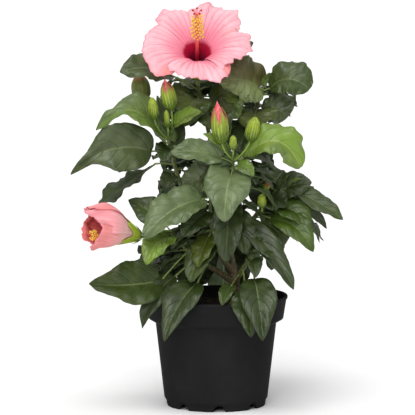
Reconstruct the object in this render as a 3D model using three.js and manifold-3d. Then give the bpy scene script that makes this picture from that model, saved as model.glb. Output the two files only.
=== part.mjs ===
// Hibiscus shrub in its nursery pot.
// Millimetres, +Z up. The origin is the middle of the pot's flat underside, and -Y is the front.

import * as THREE from 'three';
import Module from 'manifold-3d';

const wasm = await Module();
wasm.setup();

// Driving dimensions of the pot
const POT_HEIGHT = 100.5;
const POT_RIM_RADIUS = 65;
const POT_BAND_BOTTOM = 79.7;
const POT_BAND_BOTTOM_RADIUS = 61.2;
const POT_NECK_HEIGHT = 76;
const POT_NECK_RADIUS = 54.9;
const POT_SHOULDER_HEIGHT = 7.5;
const POT_SHOULDER_RADIUS = 47;
const POT_FOOT_RADIUS = 44.7;
const POT_LIP_HEIGHT = 2.6;
const POT_LIP_PROUD = 1;
const POT_LIP_EDGE = 0.8;
const POT_LIP_WIDTH = 2.2;
const POT_WALL = 1.5;
const POT_FLOOR = 6;
const POT_FLOOR_THICKNESS = 1.8;
const POT_FOOT_WALL = 3;
const POT_FOOT_EASE = [0.6, 3];
const POT_HUB_RADIUS = 13;
const POT_NOTCHES = 8;
const POT_NOTCH_RADIUS = 5.5;
const POT_NOTCH_TURN = -86;
const POT_NOTCH_SIDES = 10;
const POT_SEGMENTS = 40;

// Driving dimensions of the soil and the woody parts
const GAP = 0.3;
const SOIL_TOP = 89;
const SOIL_BUMP = 1.8;
const SOIL_LEVEL_PATCH = 24;
const SOIL_PATCH_BLEND = 14;
const SOIL_RING_RADII = [48, 34, 20];
const SOIL_SEGMENTS = 28;
const TRUNK_FOOT = [18, 0];
const TRUNK_SIDES = 9;
const TRUNK_STATIONS = [0, 0.04, 0.09, 0.2, 0.35, 0.5, 0.64, 0.78, 0.9, 1];
const TRUNK_LOBE = 0.14;
const TRUNK_FLARE = 4.2;
const TRUNK_FLARE_HEIGHT = 7;
const TRUNK_FOOT_RADIUS = 4.9;
const TRUNK_TIP_RADIUS = 2.7;
const LIMB_SIDES = 6;
const STEM_SIDES = 5;

// Driving dimensions of the leaves and buds
const LEAF_THICKNESS = 1.2;
const LEAF_FOLD = 16;
const LEAF_STATIONS = [0.13, 0.3, 0.52, 0.76];
const PETIOLE_STATIONS = [[0, 1.1], [0.5, 0.95], [0.97, 1]];
const LEAF_WIDEST = 0.33;
const LEAF_BASE_POWER = 0.55;
const PETIOLE_RADIUS = 0.95;
const PETIOLE_RISE = 0.3;
const LEAF_CLEAR_OTHERS = 6;
const LEAF_CLEAR_OWN = 4.5;
const LIMB_CLEAR = 4;
const LEAF_TRIES = 20;
const LEAF_WIDTH_SHARE = 0.66;
const RULE_END = 0.97;
const ARCH_UP = 0.6;
const ARCH_FORWARD = 0.4;
const STALK_BEND = 0.08;
const BUD_STALK_BEND = 0.4;
const BUD_SEAT = 0.08;

// The rule's own ranges: droop in degrees at its first and last leaf, and how far each value varies
const RULE_DROOP = [38, 6];
const RULE_DROOP_SPREAD = 36;
const RULE_TURN_SPREAD = 60;
const RULE_LENGTH = [0.85, 0.3];
const RULE_LEAN = [20, 40];
const RULE_SAG = [0.05, 0.17];
const RULE_PETIOLE = [0.2, 0.15];
const BUD_SIDES = 6;
const BUD_STALK_RADIUS = 0.9;
const BUD_SWELL = [[0, 0.3], [0.12, 0.78], [0.38, 1], [0.65, 0.84], [0.88, 0.34]];
const GOLDEN_ANGLE = 137.5;

const radians = THREE.MathUtils.degToRad;
const UP = new THREE.Vector3(0, 0, 1);

function at(x, y, z) {
  return new THREE.Vector3(x, y, z);
}

// A small generator of repeatable draws between 0 and 1
function seeded(seed) {
  let state = seed >>> 0;
  return () => {
    state = (state + 0x6d2b79f5) >>> 0;
    let t = state;
    t = Math.imul(t ^ (t >>> 15), t | 1);
    t ^= t + Math.imul(t ^ (t >>> 7), t | 61);
    return ((t ^ (t >>> 14)) >>> 0) / 4294967296;
  };
}

// Closed solids

function geometryOf(vertices, triangles) {
  const geometry = new THREE.BufferGeometry();
  geometry.setAttribute('position', new THREE.Float32BufferAttribute(vertices, 3));
  geometry.setIndex(triangles);
  return geometry;
}

function signedVolume(points, triangles) {
  let six = 0;
  for (let i = 0; i < triangles.length; i += 3) {
    const [a, b, c] = [points[triangles[i]], points[triangles[i + 1]], points[triangles[i + 2]]];
    six += a.dot(b.clone().cross(c));
  }
  return six / 6;
}

// Triangles that close a ring from both its ends inward, so that a thin curved strip closes too
function endCap(count) {
  const cap = [];
  for (let low = 0, high = count - 1; low + 1 < high; low++, high--) {
    cap.push([low, low + 1, high]);
    if (low + 1 < high - 1) cap.push([low + 1, high - 1, high]);
  }
  return cap;
}

// A closed skin over rings of points; a ring of one point is a pointed end
function loft(rings) {
  const points = rings.flat();
  const starts = [];
  let count = 0;
  for (const ring of rings) {
    starts.push(count);
    count += ring.length;
  }
  const triangles = [];
  for (let r = 0; r + 1 < rings.length; r++) {
    const [a, b] = [rings[r].length, rings[r + 1].length];
    const sides = Math.max(a, b);
    for (let k = 0; k < sides; k++) {
      const low = starts[r] + (k % a);
      const lowNext = starts[r] + ((k + 1) % a);
      const high = starts[r + 1] + (k % b);
      const highNext = starts[r + 1] + ((k + 1) % b);
      if (a > 1) triangles.push(low, lowNext, high);
      if (b > 1) triangles.push(lowNext, highNext, high);
    }
  }
  for (const [a, b, c] of endCap(rings[0].length)) triangles.push(a, c, b);
  const last = starts[rings.length - 1];
  for (const cap of endCap(rings[rings.length - 1].length)) {
    triangles.push(...cap.map((corner) => last + corner));
  }
  if (signedVolume(points, triangles) < 0) triangles.reverse();
  return geometryOf(points.flatMap((p) => p.toArray()), triangles);
}

function solidOf(geometry) {
  return new wasm.Manifold(new wasm.Mesh({
    numProp: 3,
    vertProperties: Float32Array.from(geometry.getAttribute('position').array),
    triVerts: Uint32Array.from(geometry.getIndex().array),
  }));
}

// Where fusing leaves a loose scrap or seals a hollow, only the main body is kept and the hollow is filled
function geometryFrom(solid) {
  const bodies = solid.decompose().sort((a, b) => b.volume() - a.volume());
  const mesh = bodies[0].getMesh();
  return geometryOf(Array.from(mesh.vertProperties), Array.from(mesh.triVerts));
}

// A ring of points round a place, square to a direction
function ringRound(centre, direction, radius, sides) {
  const flat = Math.abs(direction.z) > 0.9 ? at(1, 0, 0) : UP.clone();
  const across = flat.cross(direction).normalize();
  const other = direction.clone().cross(across).normalize();
  return Array.from({ length: sides }, (_, k) => {
    const angle = (2 * Math.PI * k) / sides;
    return centre.clone()
      .addScaledVector(across, radius * Math.cos(angle))
      .addScaledVector(other, radius * Math.sin(angle));
  });
}

// A round tapering limb along a curve between two of its fractions
function limb(curve, from, to, radiusAt, sides, steps) {
  const rings = [];
  let across = null;
  for (let i = 0; i <= steps; i++) {
    const t = from + ((to - from) * i) / steps;
    const centre = curve.getPoint(t);
    const along = curve.getTangent(t);
    if (!across) across = at(1, 0, 0).cross(along);
    across.addScaledVector(along, -across.dot(along)).normalize();
    const other = along.clone().cross(across);
    rings.push(Array.from({ length: sides }, (_, k) => {
      const angle = (2 * Math.PI * k) / sides;
      return centre.clone()
        .addScaledVector(across, radiusAt(t) * Math.cos(angle))
        .addScaledVector(other, radiusAt(t) * Math.sin(angle));
    }));
  }
  return loft(rings);
}

// Pot: a turned wall with a deep rim band, and a foot ring cut by notches

function lathed(profile, segments) {
  const rings = [];
  for (let k = 0; k < segments; k++) {
    const angle = (2 * Math.PI * k) / segments;
    rings.push(profile.map(([r, z]) => at(r * Math.cos(angle), r * Math.sin(angle), z)));
  }
  const points = [];
  const indexOf = rings.map((ring, k) => ring.map((p, i) => {
    const onAxis = profile[i][0] === 0;
    if (onAxis && k > 0) return null;
    points.push(p);
    return points.length - 1;
  }));
  const index = (k, i) => indexOf[profile[i][0] === 0 ? 0 : k % segments][i];
  const triangles = [];
  const closes = profile[0][0] !== 0;
  const spans = closes ? profile.length : profile.length - 1;
  for (let k = 0; k < segments; k++) {
    for (let i = 0; i < spans; i++) {
      const j = (i + 1) % profile.length;
      const [a, b, c, d] = [index(k, i), index(k + 1, i), index(k + 1, j), index(k, j)];
      if (a !== b) triangles.push(a, b, c);
      if (c !== d) triangles.push(a, c, d);
    }
  }
  if (signedVolume(points, triangles) < 0) triangles.reverse();
  return geometryOf(points.flatMap((p) => p.toArray()), triangles);
}

function potGeometry() {
  const floorTop = POT_FLOOR + POT_FLOOR_THICKNESS;
  const wall = [
    [0, 0],
    [POT_HUB_RADIUS, 0],
    [POT_HUB_RADIUS, POT_FLOOR],
    [POT_FOOT_RADIUS - POT_FOOT_WALL, POT_FLOOR],
    [POT_FOOT_RADIUS - POT_FOOT_WALL, 0],
    [POT_FOOT_RADIUS, 0],
    [POT_FOOT_RADIUS + POT_FOOT_EASE[0], POT_SHOULDER_HEIGHT - POT_FOOT_EASE[1]],
    [POT_SHOULDER_RADIUS, POT_SHOULDER_HEIGHT],
    [POT_NECK_RADIUS, POT_NECK_HEIGHT],
    [POT_BAND_BOTTOM_RADIUS, POT_BAND_BOTTOM],
    [POT_RIM_RADIUS - POT_LIP_PROUD, POT_HEIGHT - POT_LIP_HEIGHT - POT_LIP_EDGE],
    [POT_RIM_RADIUS, POT_HEIGHT - POT_LIP_HEIGHT],
    [POT_RIM_RADIUS, POT_HEIGHT - POT_LIP_EDGE],
    [POT_RIM_RADIUS - POT_LIP_EDGE, POT_HEIGHT],
    [POT_RIM_RADIUS - POT_LIP_WIDTH, POT_HEIGHT],
    [POT_RIM_RADIUS - POT_LIP_WIDTH - POT_LIP_EDGE, POT_HEIGHT - 2 * POT_LIP_EDGE],
    [POT_BAND_BOTTOM_RADIUS - POT_WALL, POT_BAND_BOTTOM],
    [POT_NECK_RADIUS - POT_WALL, POT_NECK_HEIGHT],
    [POT_SHOULDER_RADIUS - POT_WALL, floorTop],
    [0, floorTop],
  ];
  let pot = solidOf(lathed(wall, POT_SEGMENTS));
  for (let k = 0; k < POT_NOTCHES; k++) {
    const turn = radians(POT_NOTCH_TURN + (360 * k) / POT_NOTCHES);
    const outward = at(Math.cos(turn), Math.sin(turn), 0);
    const inner = outward.clone().multiplyScalar(POT_FOOT_RADIUS - 2 * POT_FOOT_WALL);
    const outer = outward.clone().multiplyScalar(POT_FOOT_RADIUS + 2 * POT_FOOT_WALL);
    const ends = [inner, outer].map((centre) => (
      ringRound(centre, outward, POT_NOTCH_RADIUS, POT_NOTCH_SIDES)));
    pot = pot.subtract(solidOf(loft(ends)));
  }
  return geometryFrom(pot);
}

// Soil: fills the pot, level under the trunk and lumpy round it
function soilHeight(x, y) {
  const away = Math.hypot(x - TRUNK_FOOT[0], y - TRUNK_FOOT[1]);
  const free = THREE.MathUtils.clamp((away - SOIL_LEVEL_PATCH) / SOIL_PATCH_BLEND, 0, 1);
  const lumps = Math.sin(0.21 * x + 1.3) * Math.cos(0.17 * y - 0.4) + 0.6 * Math.sin(0.37 * y + 0.29 * x);
  return SOIL_TOP + SOIL_BUMP * free * lumps;
}

function soilGeometry() {
  const clear = POT_WALL + 2.4 * GAP;
  const bottom = POT_FLOOR + POT_FLOOR_THICKNESS + GAP;
  const wallAt = (z) => THREE.MathUtils.mapLinear(
    z, bottom - GAP, POT_NECK_HEIGHT, POT_SHOULDER_RADIUS, POT_NECK_RADIUS) - clear;
  const bandAt = (z) => THREE.MathUtils.mapLinear(
    z, POT_BAND_BOTTOM, POT_HEIGHT, POT_BAND_BOTTOM_RADIUS, POT_RIM_RADIUS - 2 * POT_LIP_PROUD) - clear;
  const profile = [
    [0, bottom],
    [wallAt(bottom), bottom],
    [wallAt(POT_NECK_HEIGHT), POT_NECK_HEIGHT],
    [bandAt(POT_BAND_BOTTOM), POT_BAND_BOTTOM + GAP],
    [bandAt(SOIL_TOP), SOIL_TOP],
    ...SOIL_RING_RADII.map((radius) => [radius, SOIL_TOP]),
    [0, SOIL_TOP],
  ];
  const geometry = lathed(profile, SOIL_SEGMENTS);
  const position = geometry.getAttribute('position');
  for (let i = 0; i < position.count; i++) {
    const [x, y, z] = [position.getX(i), position.getY(i), position.getZ(i)];
    if (z > SOIL_TOP - GAP) position.setZ(i, soilHeight(x, y));
  }
  return geometry;
}

// Trunk: leans to the left as it rises, with a flared foot cut flat at the soil

const TRUNK_BASE = SOIL_TOP + GAP;
const trunkCurve = new THREE.CatmullRomCurve3([
  at(...TRUNK_FOOT, TRUNK_BASE),
  at(17, 0, 108),
  at(14, 0, 128),
  at(7, 2, 150),
  at(2, 7, 176),
]);

function trunkRadius(t) {
  const height = trunkCurve.getPoint(t).z - TRUNK_BASE;
  const flare = Math.max(0, 1 - height / TRUNK_FLARE_HEIGHT);
  return THREE.MathUtils.lerp(TRUNK_FOOT_RADIUS, TRUNK_TIP_RADIUS, t) + TRUNK_FLARE * flare * flare;
}

// The trunk's rings are level and lobed at the foot, so the cut lies flat on the soil
function trunkGeometry(extra) {
  const flareEnd = 0.1;
  return loft(TRUNK_STATIONS.map((t) => {
    const centre = trunkCurve.getPoint(t);
    const along = t < flareEnd ? UP.clone() : trunkCurve.getTangent(t);
    const lobes = t < flareEnd ? TRUNK_LOBE * (1 - t / flareEnd) : 0;
    const ring = ringRound(centre, along, trunkRadius(t) + extra, TRUNK_SIDES);
    return ring.map((p, k) => p.lerp(centre, lobes * (k % 2)));
  }));
}

// The fraction of the trunk at which it stands at a height
function trunkFractionAt(height) {
  let [low, high] = [0, 1];
  for (let i = 0; i < 30; i++) {
    const middle = (low + high) / 2;
    const above = trunkCurve.getPoint(middle).z > height;
    [low, high] = above ? [low, middle] : [middle, high];
  }
  return (low + high) / 2;
}

// Leaves: a petiole that rises from the stem, then an ovate blade with a drawn-out tip.
// A leaf reads [place on the shoot, tip x, tip y, tip z, petiole, width, lean, sag, heading, rise].
// Lean tips the blade's upper face from level toward its heading, the front if none is given.
// Sag is how far the midrib arches above a straight line, as a share of the blade's length.
// Rise is how steeply the petiole climbs away from the straight way to the tip.

function leafOf(shoot, row) {
  const [place, x, y, z, petiole, width, lean, sag, heading = -90, rise = PETIOLE_RISE] = row;
  const root = shoot.curve.getPoint(place);
  const tip = at(x, y, z);
  const leave = tip.clone().sub(root).normalize().addScaledVector(UP, rise).normalize();
  const base = root.clone().addScaledVector(leave, petiole);
  const chord = tip.clone().sub(base);
  const length = chord.length();
  chord.normalize();
  const toward = at(Math.cos(radians(heading)), Math.sin(radians(heading)), 0);
  const hint = toward.multiplyScalar(Math.sin(radians(lean))).addScaledVector(UP, Math.cos(radians(lean)));
  const face = hint.clone().addScaledVector(chord, -hint.dot(chord)).normalize();
  const lift = UP.clone().multiplyScalar(ARCH_UP).addScaledVector(hint, ARCH_FORWARD);
  const arch = lift.addScaledVector(chord, -lift.dot(chord)).normalize();
  const crest = base.clone().lerp(tip, 0.5).addScaledVector(arch, 2 * sag * length);
  const blade = new THREE.QuadraticBezierCurve3(base, crest, tip);
  const bend = root.clone().lerp(base, 0.5).addScaledVector(UP, STALK_BEND * petiole);
  const stalk = new THREE.QuadraticBezierCurve3(root, bend, base);
  return { shoot, root, base, tip, length, width, face, blade, stalk };
}

// Share of the full width at a fraction of the blade: rounded at the base, drawn out at the tip
function bladeShare(u) {
  const tipPower = (LEAF_BASE_POWER * (1 - LEAF_WIDEST)) / LEAF_WIDEST;
  const shape = (s) => s ** LEAF_BASE_POWER * (1 - s) ** tipPower;
  return shape(u) / shape(LEAF_WIDEST);
}

// A point of the blade: u runs from base to tip, v from one edge to the other
function bladePoint(leaf, u, v) {
  const along = leaf.blade.getTangent(u);
  const normal = leaf.face.clone().addScaledVector(along, -leaf.face.dot(along)).normalize();
  const side = along.clone().cross(normal);
  const reach = 0.5 * leaf.width * bladeShare(u);
  return leaf.blade.getPoint(u)
    .addScaledVector(side, v * reach * Math.cos(radians(LEAF_FOLD)))
    .addScaledVector(normal, Math.abs(v) * reach * Math.sin(radians(LEAF_FOLD)));
}

function leafGeometry(leaf) {
  const rings = [];
  for (const [t, scale] of PETIOLE_STATIONS) {
    const along = leaf.stalk.getTangent(t);
    const normal = leaf.face.clone().addScaledVector(along, -leaf.face.dot(along)).normalize();
    const side = along.clone().cross(normal);
    const centre = leaf.stalk.getPoint(t);
    const radius = PETIOLE_RADIUS * scale;
    rings.push([[-1, 0], [0, -1], [1, 0], [0, 1]].map(([s, n]) => centre.clone()
      .addScaledVector(side, s * radius)
      .addScaledVector(normal, n * radius)));
  }
  for (const u of LEAF_STATIONS) {
    const along = leaf.blade.getTangent(u);
    const normal = leaf.face.clone().addScaledVector(along, -leaf.face.dot(along)).normalize();
    const centre = leaf.blade.getPoint(u);
    rings.push([
      bladePoint(leaf, u, -1),
      centre.clone().addScaledVector(normal, -LEAF_THICKNESS / 2),
      bladePoint(leaf, u, 1),
      centre.clone().addScaledVector(normal, LEAF_THICKNESS / 2),
    ]);
  }
  rings.push([leaf.tip]);
  return loft(rings);
}

// Points spread over a leaf, by which leaves are kept clear of each other.
// The outer ones leave out the foot of the leaf, where leaves of one stem draw together.
function leafSamples(leaf) {
  const rows = (shares) => shares.flatMap((u) => (
    [-0.9, -0.45, 0, 0.45, 0.9].map((v) => bladePoint(leaf, u, v))));
  const outer = rows([0.42, 0.54, 0.66, 0.78, 0.9, 1]);
  const foot = rows([0.06, 0.18, 0.3]).concat([0.55, 0.85].map((t) => leaf.stalk.getPoint(t)));
  return { all: outer.concat(foot), outer };
}

// Buds: a stalk that curves up from the stem to a pointed bud.
// A bud reads [place on the shoot, base x, y, z, top x, y, z, width].

function budGeometries(shoot, [place, bx, by, bz, tx, ty, tz, width]) {
  const root = shoot.curve.getPoint(place);
  const base = at(bx, by, bz);
  const top = at(tx, ty, tz);
  const axis = top.clone().sub(base);
  const bend = base.clone().addScaledVector(axis, -BUD_STALK_BEND * root.distanceTo(base) / axis.length());
  const stalk = new THREE.QuadraticBezierCurve3(root, bend, base.clone().addScaledVector(axis, BUD_SEAT));
  const along = axis.clone().normalize();
  const rings = BUD_SWELL.map(([s, share]) => (
    ringRound(base.clone().addScaledVector(axis, s), along, 0.5 * width * share, BUD_SIDES)));
  rings.push([top]);
  return [limb(stalk, 0, 1, () => BUD_STALK_RADIUS, 4, 3), loft(rings)];
}

// Shoots: each grows from the trunk at a height, as a bough and then as the stem of a leafy mass.
// The bough ends at the split, a fraction of the way. The rule leaves fill the shoot's own space,
// given as [low, high] across, deep and up, from the first to the last place on the shoot.

const SHOOTS = [
  {
    name: 'left', from: 146, split: 0.42, radii: [3, 1.3],
    path: [[-10, -5, 160], [-27, -12, 190], [-37, -18, 220], [-43, -28, 246]],
    leaves: [
      [0.97, -107, -45, 254, 12, 40, 38, 0.38],
      [0.86, -130, -40, 214, 18, 46, 84, 0.2],
      [0.76, -106, -12, 183, 18, 24, 34, 0, -90, 0.5],
      [0.96, -47, -46, 226, 6, 21, 60, 0.1],
      [0.98, -13, -36, 270, 15, 18, 45, 0.1, -90, 1.0],
      [0.7, -45, -30, 200, 8, 18, 50, 0.15],
      [0.97, -53, -24, 284, 6, 10, 70, 0.05],
      [0.8, -30, -18, 261, 6, 16, 70, 0.1],
    ],
    buds: [
      [0.93, -66.5, 5, 276, -70, 6, 304, 17],
      [0.97, -40, -36, 272, -46, -42, 300.5, 13.5],
      [0.99, -55, -42, 264, -57, -48, 284, 9],
      [0.99, -43, -38, 256, -44.5, -42, 272, 5],
    ],
    rule: { count: 5, seed: 11, length: [44, 34], first: 0.5, turn: 100 },
    space: [[-62, -8], [-24, 46], [150, 236]],
  },
  {
    name: 'leader', from: null, split: 0, radii: [2.6, 1.5],
    path: [[0, 11, 200], [-5, 14, 239], [-12, 13, 270], [-17, 7, 291]],
    leaves: [
      [0.93, -86.5, -12, 303.5, 30, 32, 50, 0.12],
      [0.84, -36, -6, 268, 8, 38, 50, 0.2],
      [0.84, 20, -14, 262, 10, 40, 52, 0.16],
      [0.86, -28, -28, 256, 6, 36, 50, 0.2],
      [0.8, 4, -26, 246, 8, 42, 45, 0.2],
      [0.98, 34, 24, 328, 14, 26, 60, 0.1],
      [0.7, -23, -18, 255, 10, 20, 55, 0.15, -90, 1.2],
    ],
    buds: [],
    rule: { count: 12, seed: 5, length: [54, 44], first: 0.08, turn: 60 },
    space: [[-50, 50], [6, 88], [170, 300]],
  },
  {
    name: 'front', from: 130, split: 0.4, radii: [2.9, 1.3],
    path: [[12, -14, 152], [13, -30, 189], [14.5, -42, 214], [15, -48, 230]],
    leaves: [
      [0.96, 75, -50, 221, 10, 36, 50, 0.43],
      [0.84, 7, -78, 176, 9, 43, 35, 0.2],
      [0.9, 33, -64, 215, 6, 15, 60, 0.15],
      [0.92, -41, -54, 235, 12, 26, 55, 0.08],
      [0.98, -12, -54, 252, 7, 11, 50, 0.1],
      [0.75, -30, -34, 200, 13, 32, 60, 0.1],
      [0.46, 27, -48, 143, 8, 27, 45, 0.15],
      [0.44, 69, -60, 113, 10, 24, 40, 0.07],
      [0.55, 9, -56, 137, 8, 29, 42, 0.16],
    ],
    buds: [
      [0.97, 5, -58, 244, 0.7, -64, 282, 15],
      [0.99, 15, -58, 238, 15, -61, 251, 7],
      [0.95, 30, -54, 245.5, 35, -56, 267, 12],
    ],
    rule: { count: 2, seed: 3, length: [40, 34], first: 0.5, turn: 20 },
    space: [[-16, 54], [-60, -8], [150, 238]],
  },
  {
    name: 'right', from: 145, split: 0.36, radii: [2.9, 1.3],
    path: [[22, 0, 157], [37, -10, 175], [50, -16, 191], [64, -18, 200]],
    leaves: [
      [0.97, 114, -28, 172, 8, 21, 40, 0.04],
      [0.92, 100, -12, 162, 9, 13, 50, 0.06],
      [0.84, 94, 4, 147, 9, 10, 30, 0.1],
      [0.62, 84, -26, 163, 8, 26, 42, 0.2],
      [0.5, 87, -36, 144, 14, 27, 48, 0.18],
      [0.72, 86, -22, 205, 9, 28, 50, 0.08],
      [0.58, 62, -34, 184, 8, 30, 48, 0.2],
      [0.68, 62, -4, 214, 12, 24, 45, 0.15],
      [0.44, 62, -16, 148, 9, 28, 42, 0.15],
    ],
    buds: [
      [0.66, 43, -30, 200, 48, -38, 208, 6],
      [0.6, 41, -34, 184, 41, -38, 196.5, 8],
    ],
    rule: { count: 5, seed: 8, length: [50, 42], first: 0.4, turn: 50 },
    space: [[14, 92], [-20, 46], [128, 216]],
  },
  {
    name: 'right_back', from: 158, split: 0.42, radii: [2.8, 1.3],
    path: [[13, 12, 176], [23, 20, 215], [31, 22, 250], [43, 14, 289]],
    leaves: [
      [0.98, 3, -12, 294, 4, 46, 68, 0.12],
      [0.97, 84.5, 2, 287, 8, 37, 52, 0.26],
      [0.84, 65, 12, 261, 8, 35, 55, 0.2],
      [0.86, 34, -10, 251, 8, 44, 52, 0.16],
      [0.5, 46, 4, 178, 8, 32, 50, 0.12],
      [0.8, 20, -2, 229, 5, 36, 60, 0.1],
    ],
    buds: [],
    rule: { count: 9, seed: 21, length: [50, 42], first: 0.46, turn: 90 },
    space: [[-6, 76], [4, 84], [186, 292]],
  },
  {
    name: 'low_left', from: 112, split: 0.34, radii: [2.8, 1.3],
    path: [[0, -10, 124], [-16, -22, 136], [-29, -29, 148], [-40, -34, 161]],
    leaves: [
      [0.9, -79, -18, 189, 20, 29, 54, 0.06],
      [0.94, -62, -72, 137, 6, 28, 35, 0.2],
      [0.66, -113, -70, 120, 37, 45, 62, -0.045, -90, -0.66],
      [0.5, -66, -52, 77, 28, 24, 30, 0.14],
    ],
    buds: [],
    rule: { count: 5, seed: 31, length: [46, 38], first: 0.4, turn: 150 },
    space: [[-78, -8], [-34, 24], [104, 160]],
  },
  {
    name: 'centre_left', from: 121, split: 0.34, radii: [2.8, 1.3],
    path: [[6, -15, 136], [-2, -28, 158], [-5, -37, 178], [-5, -43, 197]],
    leaves: [
      [0.96, -64, -72, 161, 9, 38, 45, 0.12],
      [0.6, -29, -44, 162, 8, 20, 25, 0.1],
      [0.44, -23, -56, 119, 8, 26, 35, 0.16],
      [0.38, -46, -84, 70, 42, 32, 30, 0.12, -90, 0],
      [0.8, -30, -58, 160, 4, 24, 60, 0.1],
    ],
    buds: [],
    rule: { count: 3, seed: 41, length: [40, 34], first: 0.4, turn: 0 },
    space: [[-50, 10], [-60, 0], [120, 200]],
  },
  {
    name: 'low_right', from: 108, split: 0.34, radii: [2.7, 1.3],
    path: [[19, -13, 116], [24, -26, 128], [30, -36, 138], [34, -42, 148]],
    leaves: [
      [0.84, 41, -88, 71, 24, 34, 34, 0.12, -90, 0],
      [0.5, 31, -80, 73, 26, 32, 30, 0.1, -90, 0],
      [0.38, 5, -68, 100, 26, 15, 35, 0.1, -90, 0.1],
    ],
    buds: [],
    rule: { count: 4, seed: 51, length: [44, 38], first: 0.36, turn: -20 },
    space: [[26, 92], [-70, -8], [106, 150]],
  },
  {
    name: 'rear_left', from: 132, split: 0.36, radii: [2.9, 1.3],
    path: [[-2, 15, 144], [-15, 28, 166], [-21, 37, 188], [-22, 42, 206]],
    leaves: [
      [0.5, -70, 74, 84, 20, 36, 40, 0.14, 130],
      [0.9, -44, 92, 168, 12, 36, 50, 0.18, 110],
      [0.4, -47, 12, 110, 10, 36, 50, 0.12],
      [0.44, -14, 26, 105, 8, 34, 45, 0.12],
    ],
    buds: [],
    rule: { count: 12, seed: 61, length: [56, 44], first: 0.38, turn: 80 },
    space: [[-78, 4], [14, 104], [112, 236]],
  },
  {
    name: 'rear', from: 124, split: 0.36, radii: [2.9, 1.3],
    path: [[14, 16, 136], [9, 34, 156], [5, 46, 182], [4, 50, 210]],
    leaves: [
      [0.46, 6, 96, 70, 20, 36, 40, 0.12, 90],
      [0.42, 22, 26, 105, 8, 28, 45, 0.12],
      [0.6, 18, 20, 150, 8, 34, 45, 0.12],
    ],
    buds: [],
    rule: { count: 12, seed: 71, length: [56, 44], first: 0.38, turn: 30 },
    space: [[-40, 44], [30, 112], [112, 244]],
  },
  {
    name: 'rear_right', from: 114, split: 0.36, radii: [2.9, 1.3],
    path: [[26, 13, 126], [38, 26, 146], [46, 33, 168], [50, 36, 190]],
    leaves: [
      [0.5, 52, 96, 110, 14, 34, 40, 0.14, 60],
      [0.56, 34, 6, 136, 8, 32, 50, 0.12],
    ],
    buds: [],
    rule: { count: 12, seed: 81, length: [54, 44], first: 0.38, turn: 10 },
    space: [[18, 104], [8, 100], [112, 216]],
  },
];

// Windows in the crown, seen from the front, that rule leaves stay out of: [left, right, low, high]
const WINDOWS = [
  [-34, -13, 238, 257],
  [-62, -46, 228, 250],
  [-70, -56, 174, 190],
  [-42, -26, 162, 188],
  [-8, 4, 104, 118],
  [28, 36, 186, 194],
  [22, 38, 160, 172],
  [8, 20, 252, 262],
  [58, 76, 232, 258],
  [62, 120, 100, 148],
  [44, 62, 100, 124],
  [-62, -50, 196, 214],
  [56, 92, 217, 232],
];
const SIGHT_DROP = 0.113;

function growShoots() {
  const last = trunkCurve.getPoint(1);
  for (const shoot of SHOOTS) {
    const start = shoot.from === null ? last : trunkCurve.getPoint(trunkFractionAt(shoot.from));
    shoot.curve = new THREE.CatmullRomCurve3([start, ...shoot.path.map((p) => at(...p))]);
    shoot.grown = shoot.leaves.map((row) => leafOf(shoot, row));
  }
}

function insideSpace(shoot, point) {
  const [across, deep, up] = shoot.space;
  const seen = point.z + SIGHT_DROP * point.y;
  const hidden = WINDOWS.some(([left, right, low, high]) => (
    point.x > left && point.x < right && seen > low && seen < high));
  return !hidden
    && point.x > across[0] && point.x < across[1]
    && point.y > deep[0] && point.y < deep[1]
    && point.z > up[0] && point.z < up[1];
}

function limbSamples(shoot) {
  return Array.from({ length: 41 }, (_, i) => shoot.curve.getPoint(i / 40));
}

function clearOf(points, others, distance) {
  return others.every((other) => points.every((p) => p.distanceTo(other) > distance));
}

// A value drawn from a range given as [least, spread]
function within([least, spread], draw) {
  return least + spread * draw();
}

// Rule leaves turn round the stem by the golden angle, shorter and less drooping toward the tip
function fillShoots() {
  const placed = SHOOTS.flatMap((shoot) => (
    shoot.grown.map((leaf) => ({ shoot, points: leafSamples(leaf) }))));
  const trunkPoints = Array.from({ length: 31 }, (_, i) => trunkCurve.getPoint(i / 30));
  for (const shoot of SHOOTS) {
    const { count, seed, length, first, turn } = shoot.rule;
    const draw = seeded(seed);
    const enough = shoot.leaves.length + count;
    const limbs = SHOOTS.filter((other) => other !== shoot).flatMap(limbSamples).concat(trunkPoints);
    for (let attempt = 0; attempt < count * LEAF_TRIES && shoot.grown.length < enough; attempt++) {
      const i = attempt % count;
      const share = (i + 0.5) / count;
      const heading = turn + GOLDEN_ANGLE * attempt + RULE_TURN_SPREAD * (draw() - 0.5);
      const blade = THREE.MathUtils.lerp(...length, share) * within(RULE_LENGTH, draw);
      const droop = radians(THREE.MathUtils.lerp(...RULE_DROOP, share) + RULE_DROOP_SPREAD * (draw() - 0.5));
      const lean = within(RULE_LEAN, draw);
      const sag = within(RULE_SAG, draw);
      const petiole = blade * within(RULE_PETIOLE, draw);
      const place = first + (RULE_END - first) * share;
      const root = shoot.curve.getPoint(place);
      const reach = blade + petiole;
      const tip = root.clone().add(at(
        reach * Math.cos(droop) * Math.cos(radians(heading)),
        reach * Math.cos(droop) * Math.sin(radians(heading)),
        -reach * Math.sin(droop)));
      const width = LEAF_WIDTH_SHARE * blade;
      const leaf = leafOf(shoot, [place, tip.x, tip.y, tip.z, petiole, width, lean, sag, heading]);
      const points = leafSamples(leaf);
      const fits = points.all.every((p) => insideSpace(shoot, p))
        && clearOf(points.all, limbs, LIMB_CLEAR)
        && placed.every((other) => (other.shoot === shoot
          ? clearOf(points.outer, other.points.outer, LEAF_CLEAR_OWN)
          : clearOf(points.all, other.points.all, LEAF_CLEAR_OTHERS)));
      if (fits) {
        shoot.grown.push(leaf);
        placed.push({ shoot, points });
      }
    }
  }
}

function shootRadius(shoot) {
  return (t) => THREE.MathUtils.lerp(shoot.radii[0], shoot.radii[1], t);
}

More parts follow.
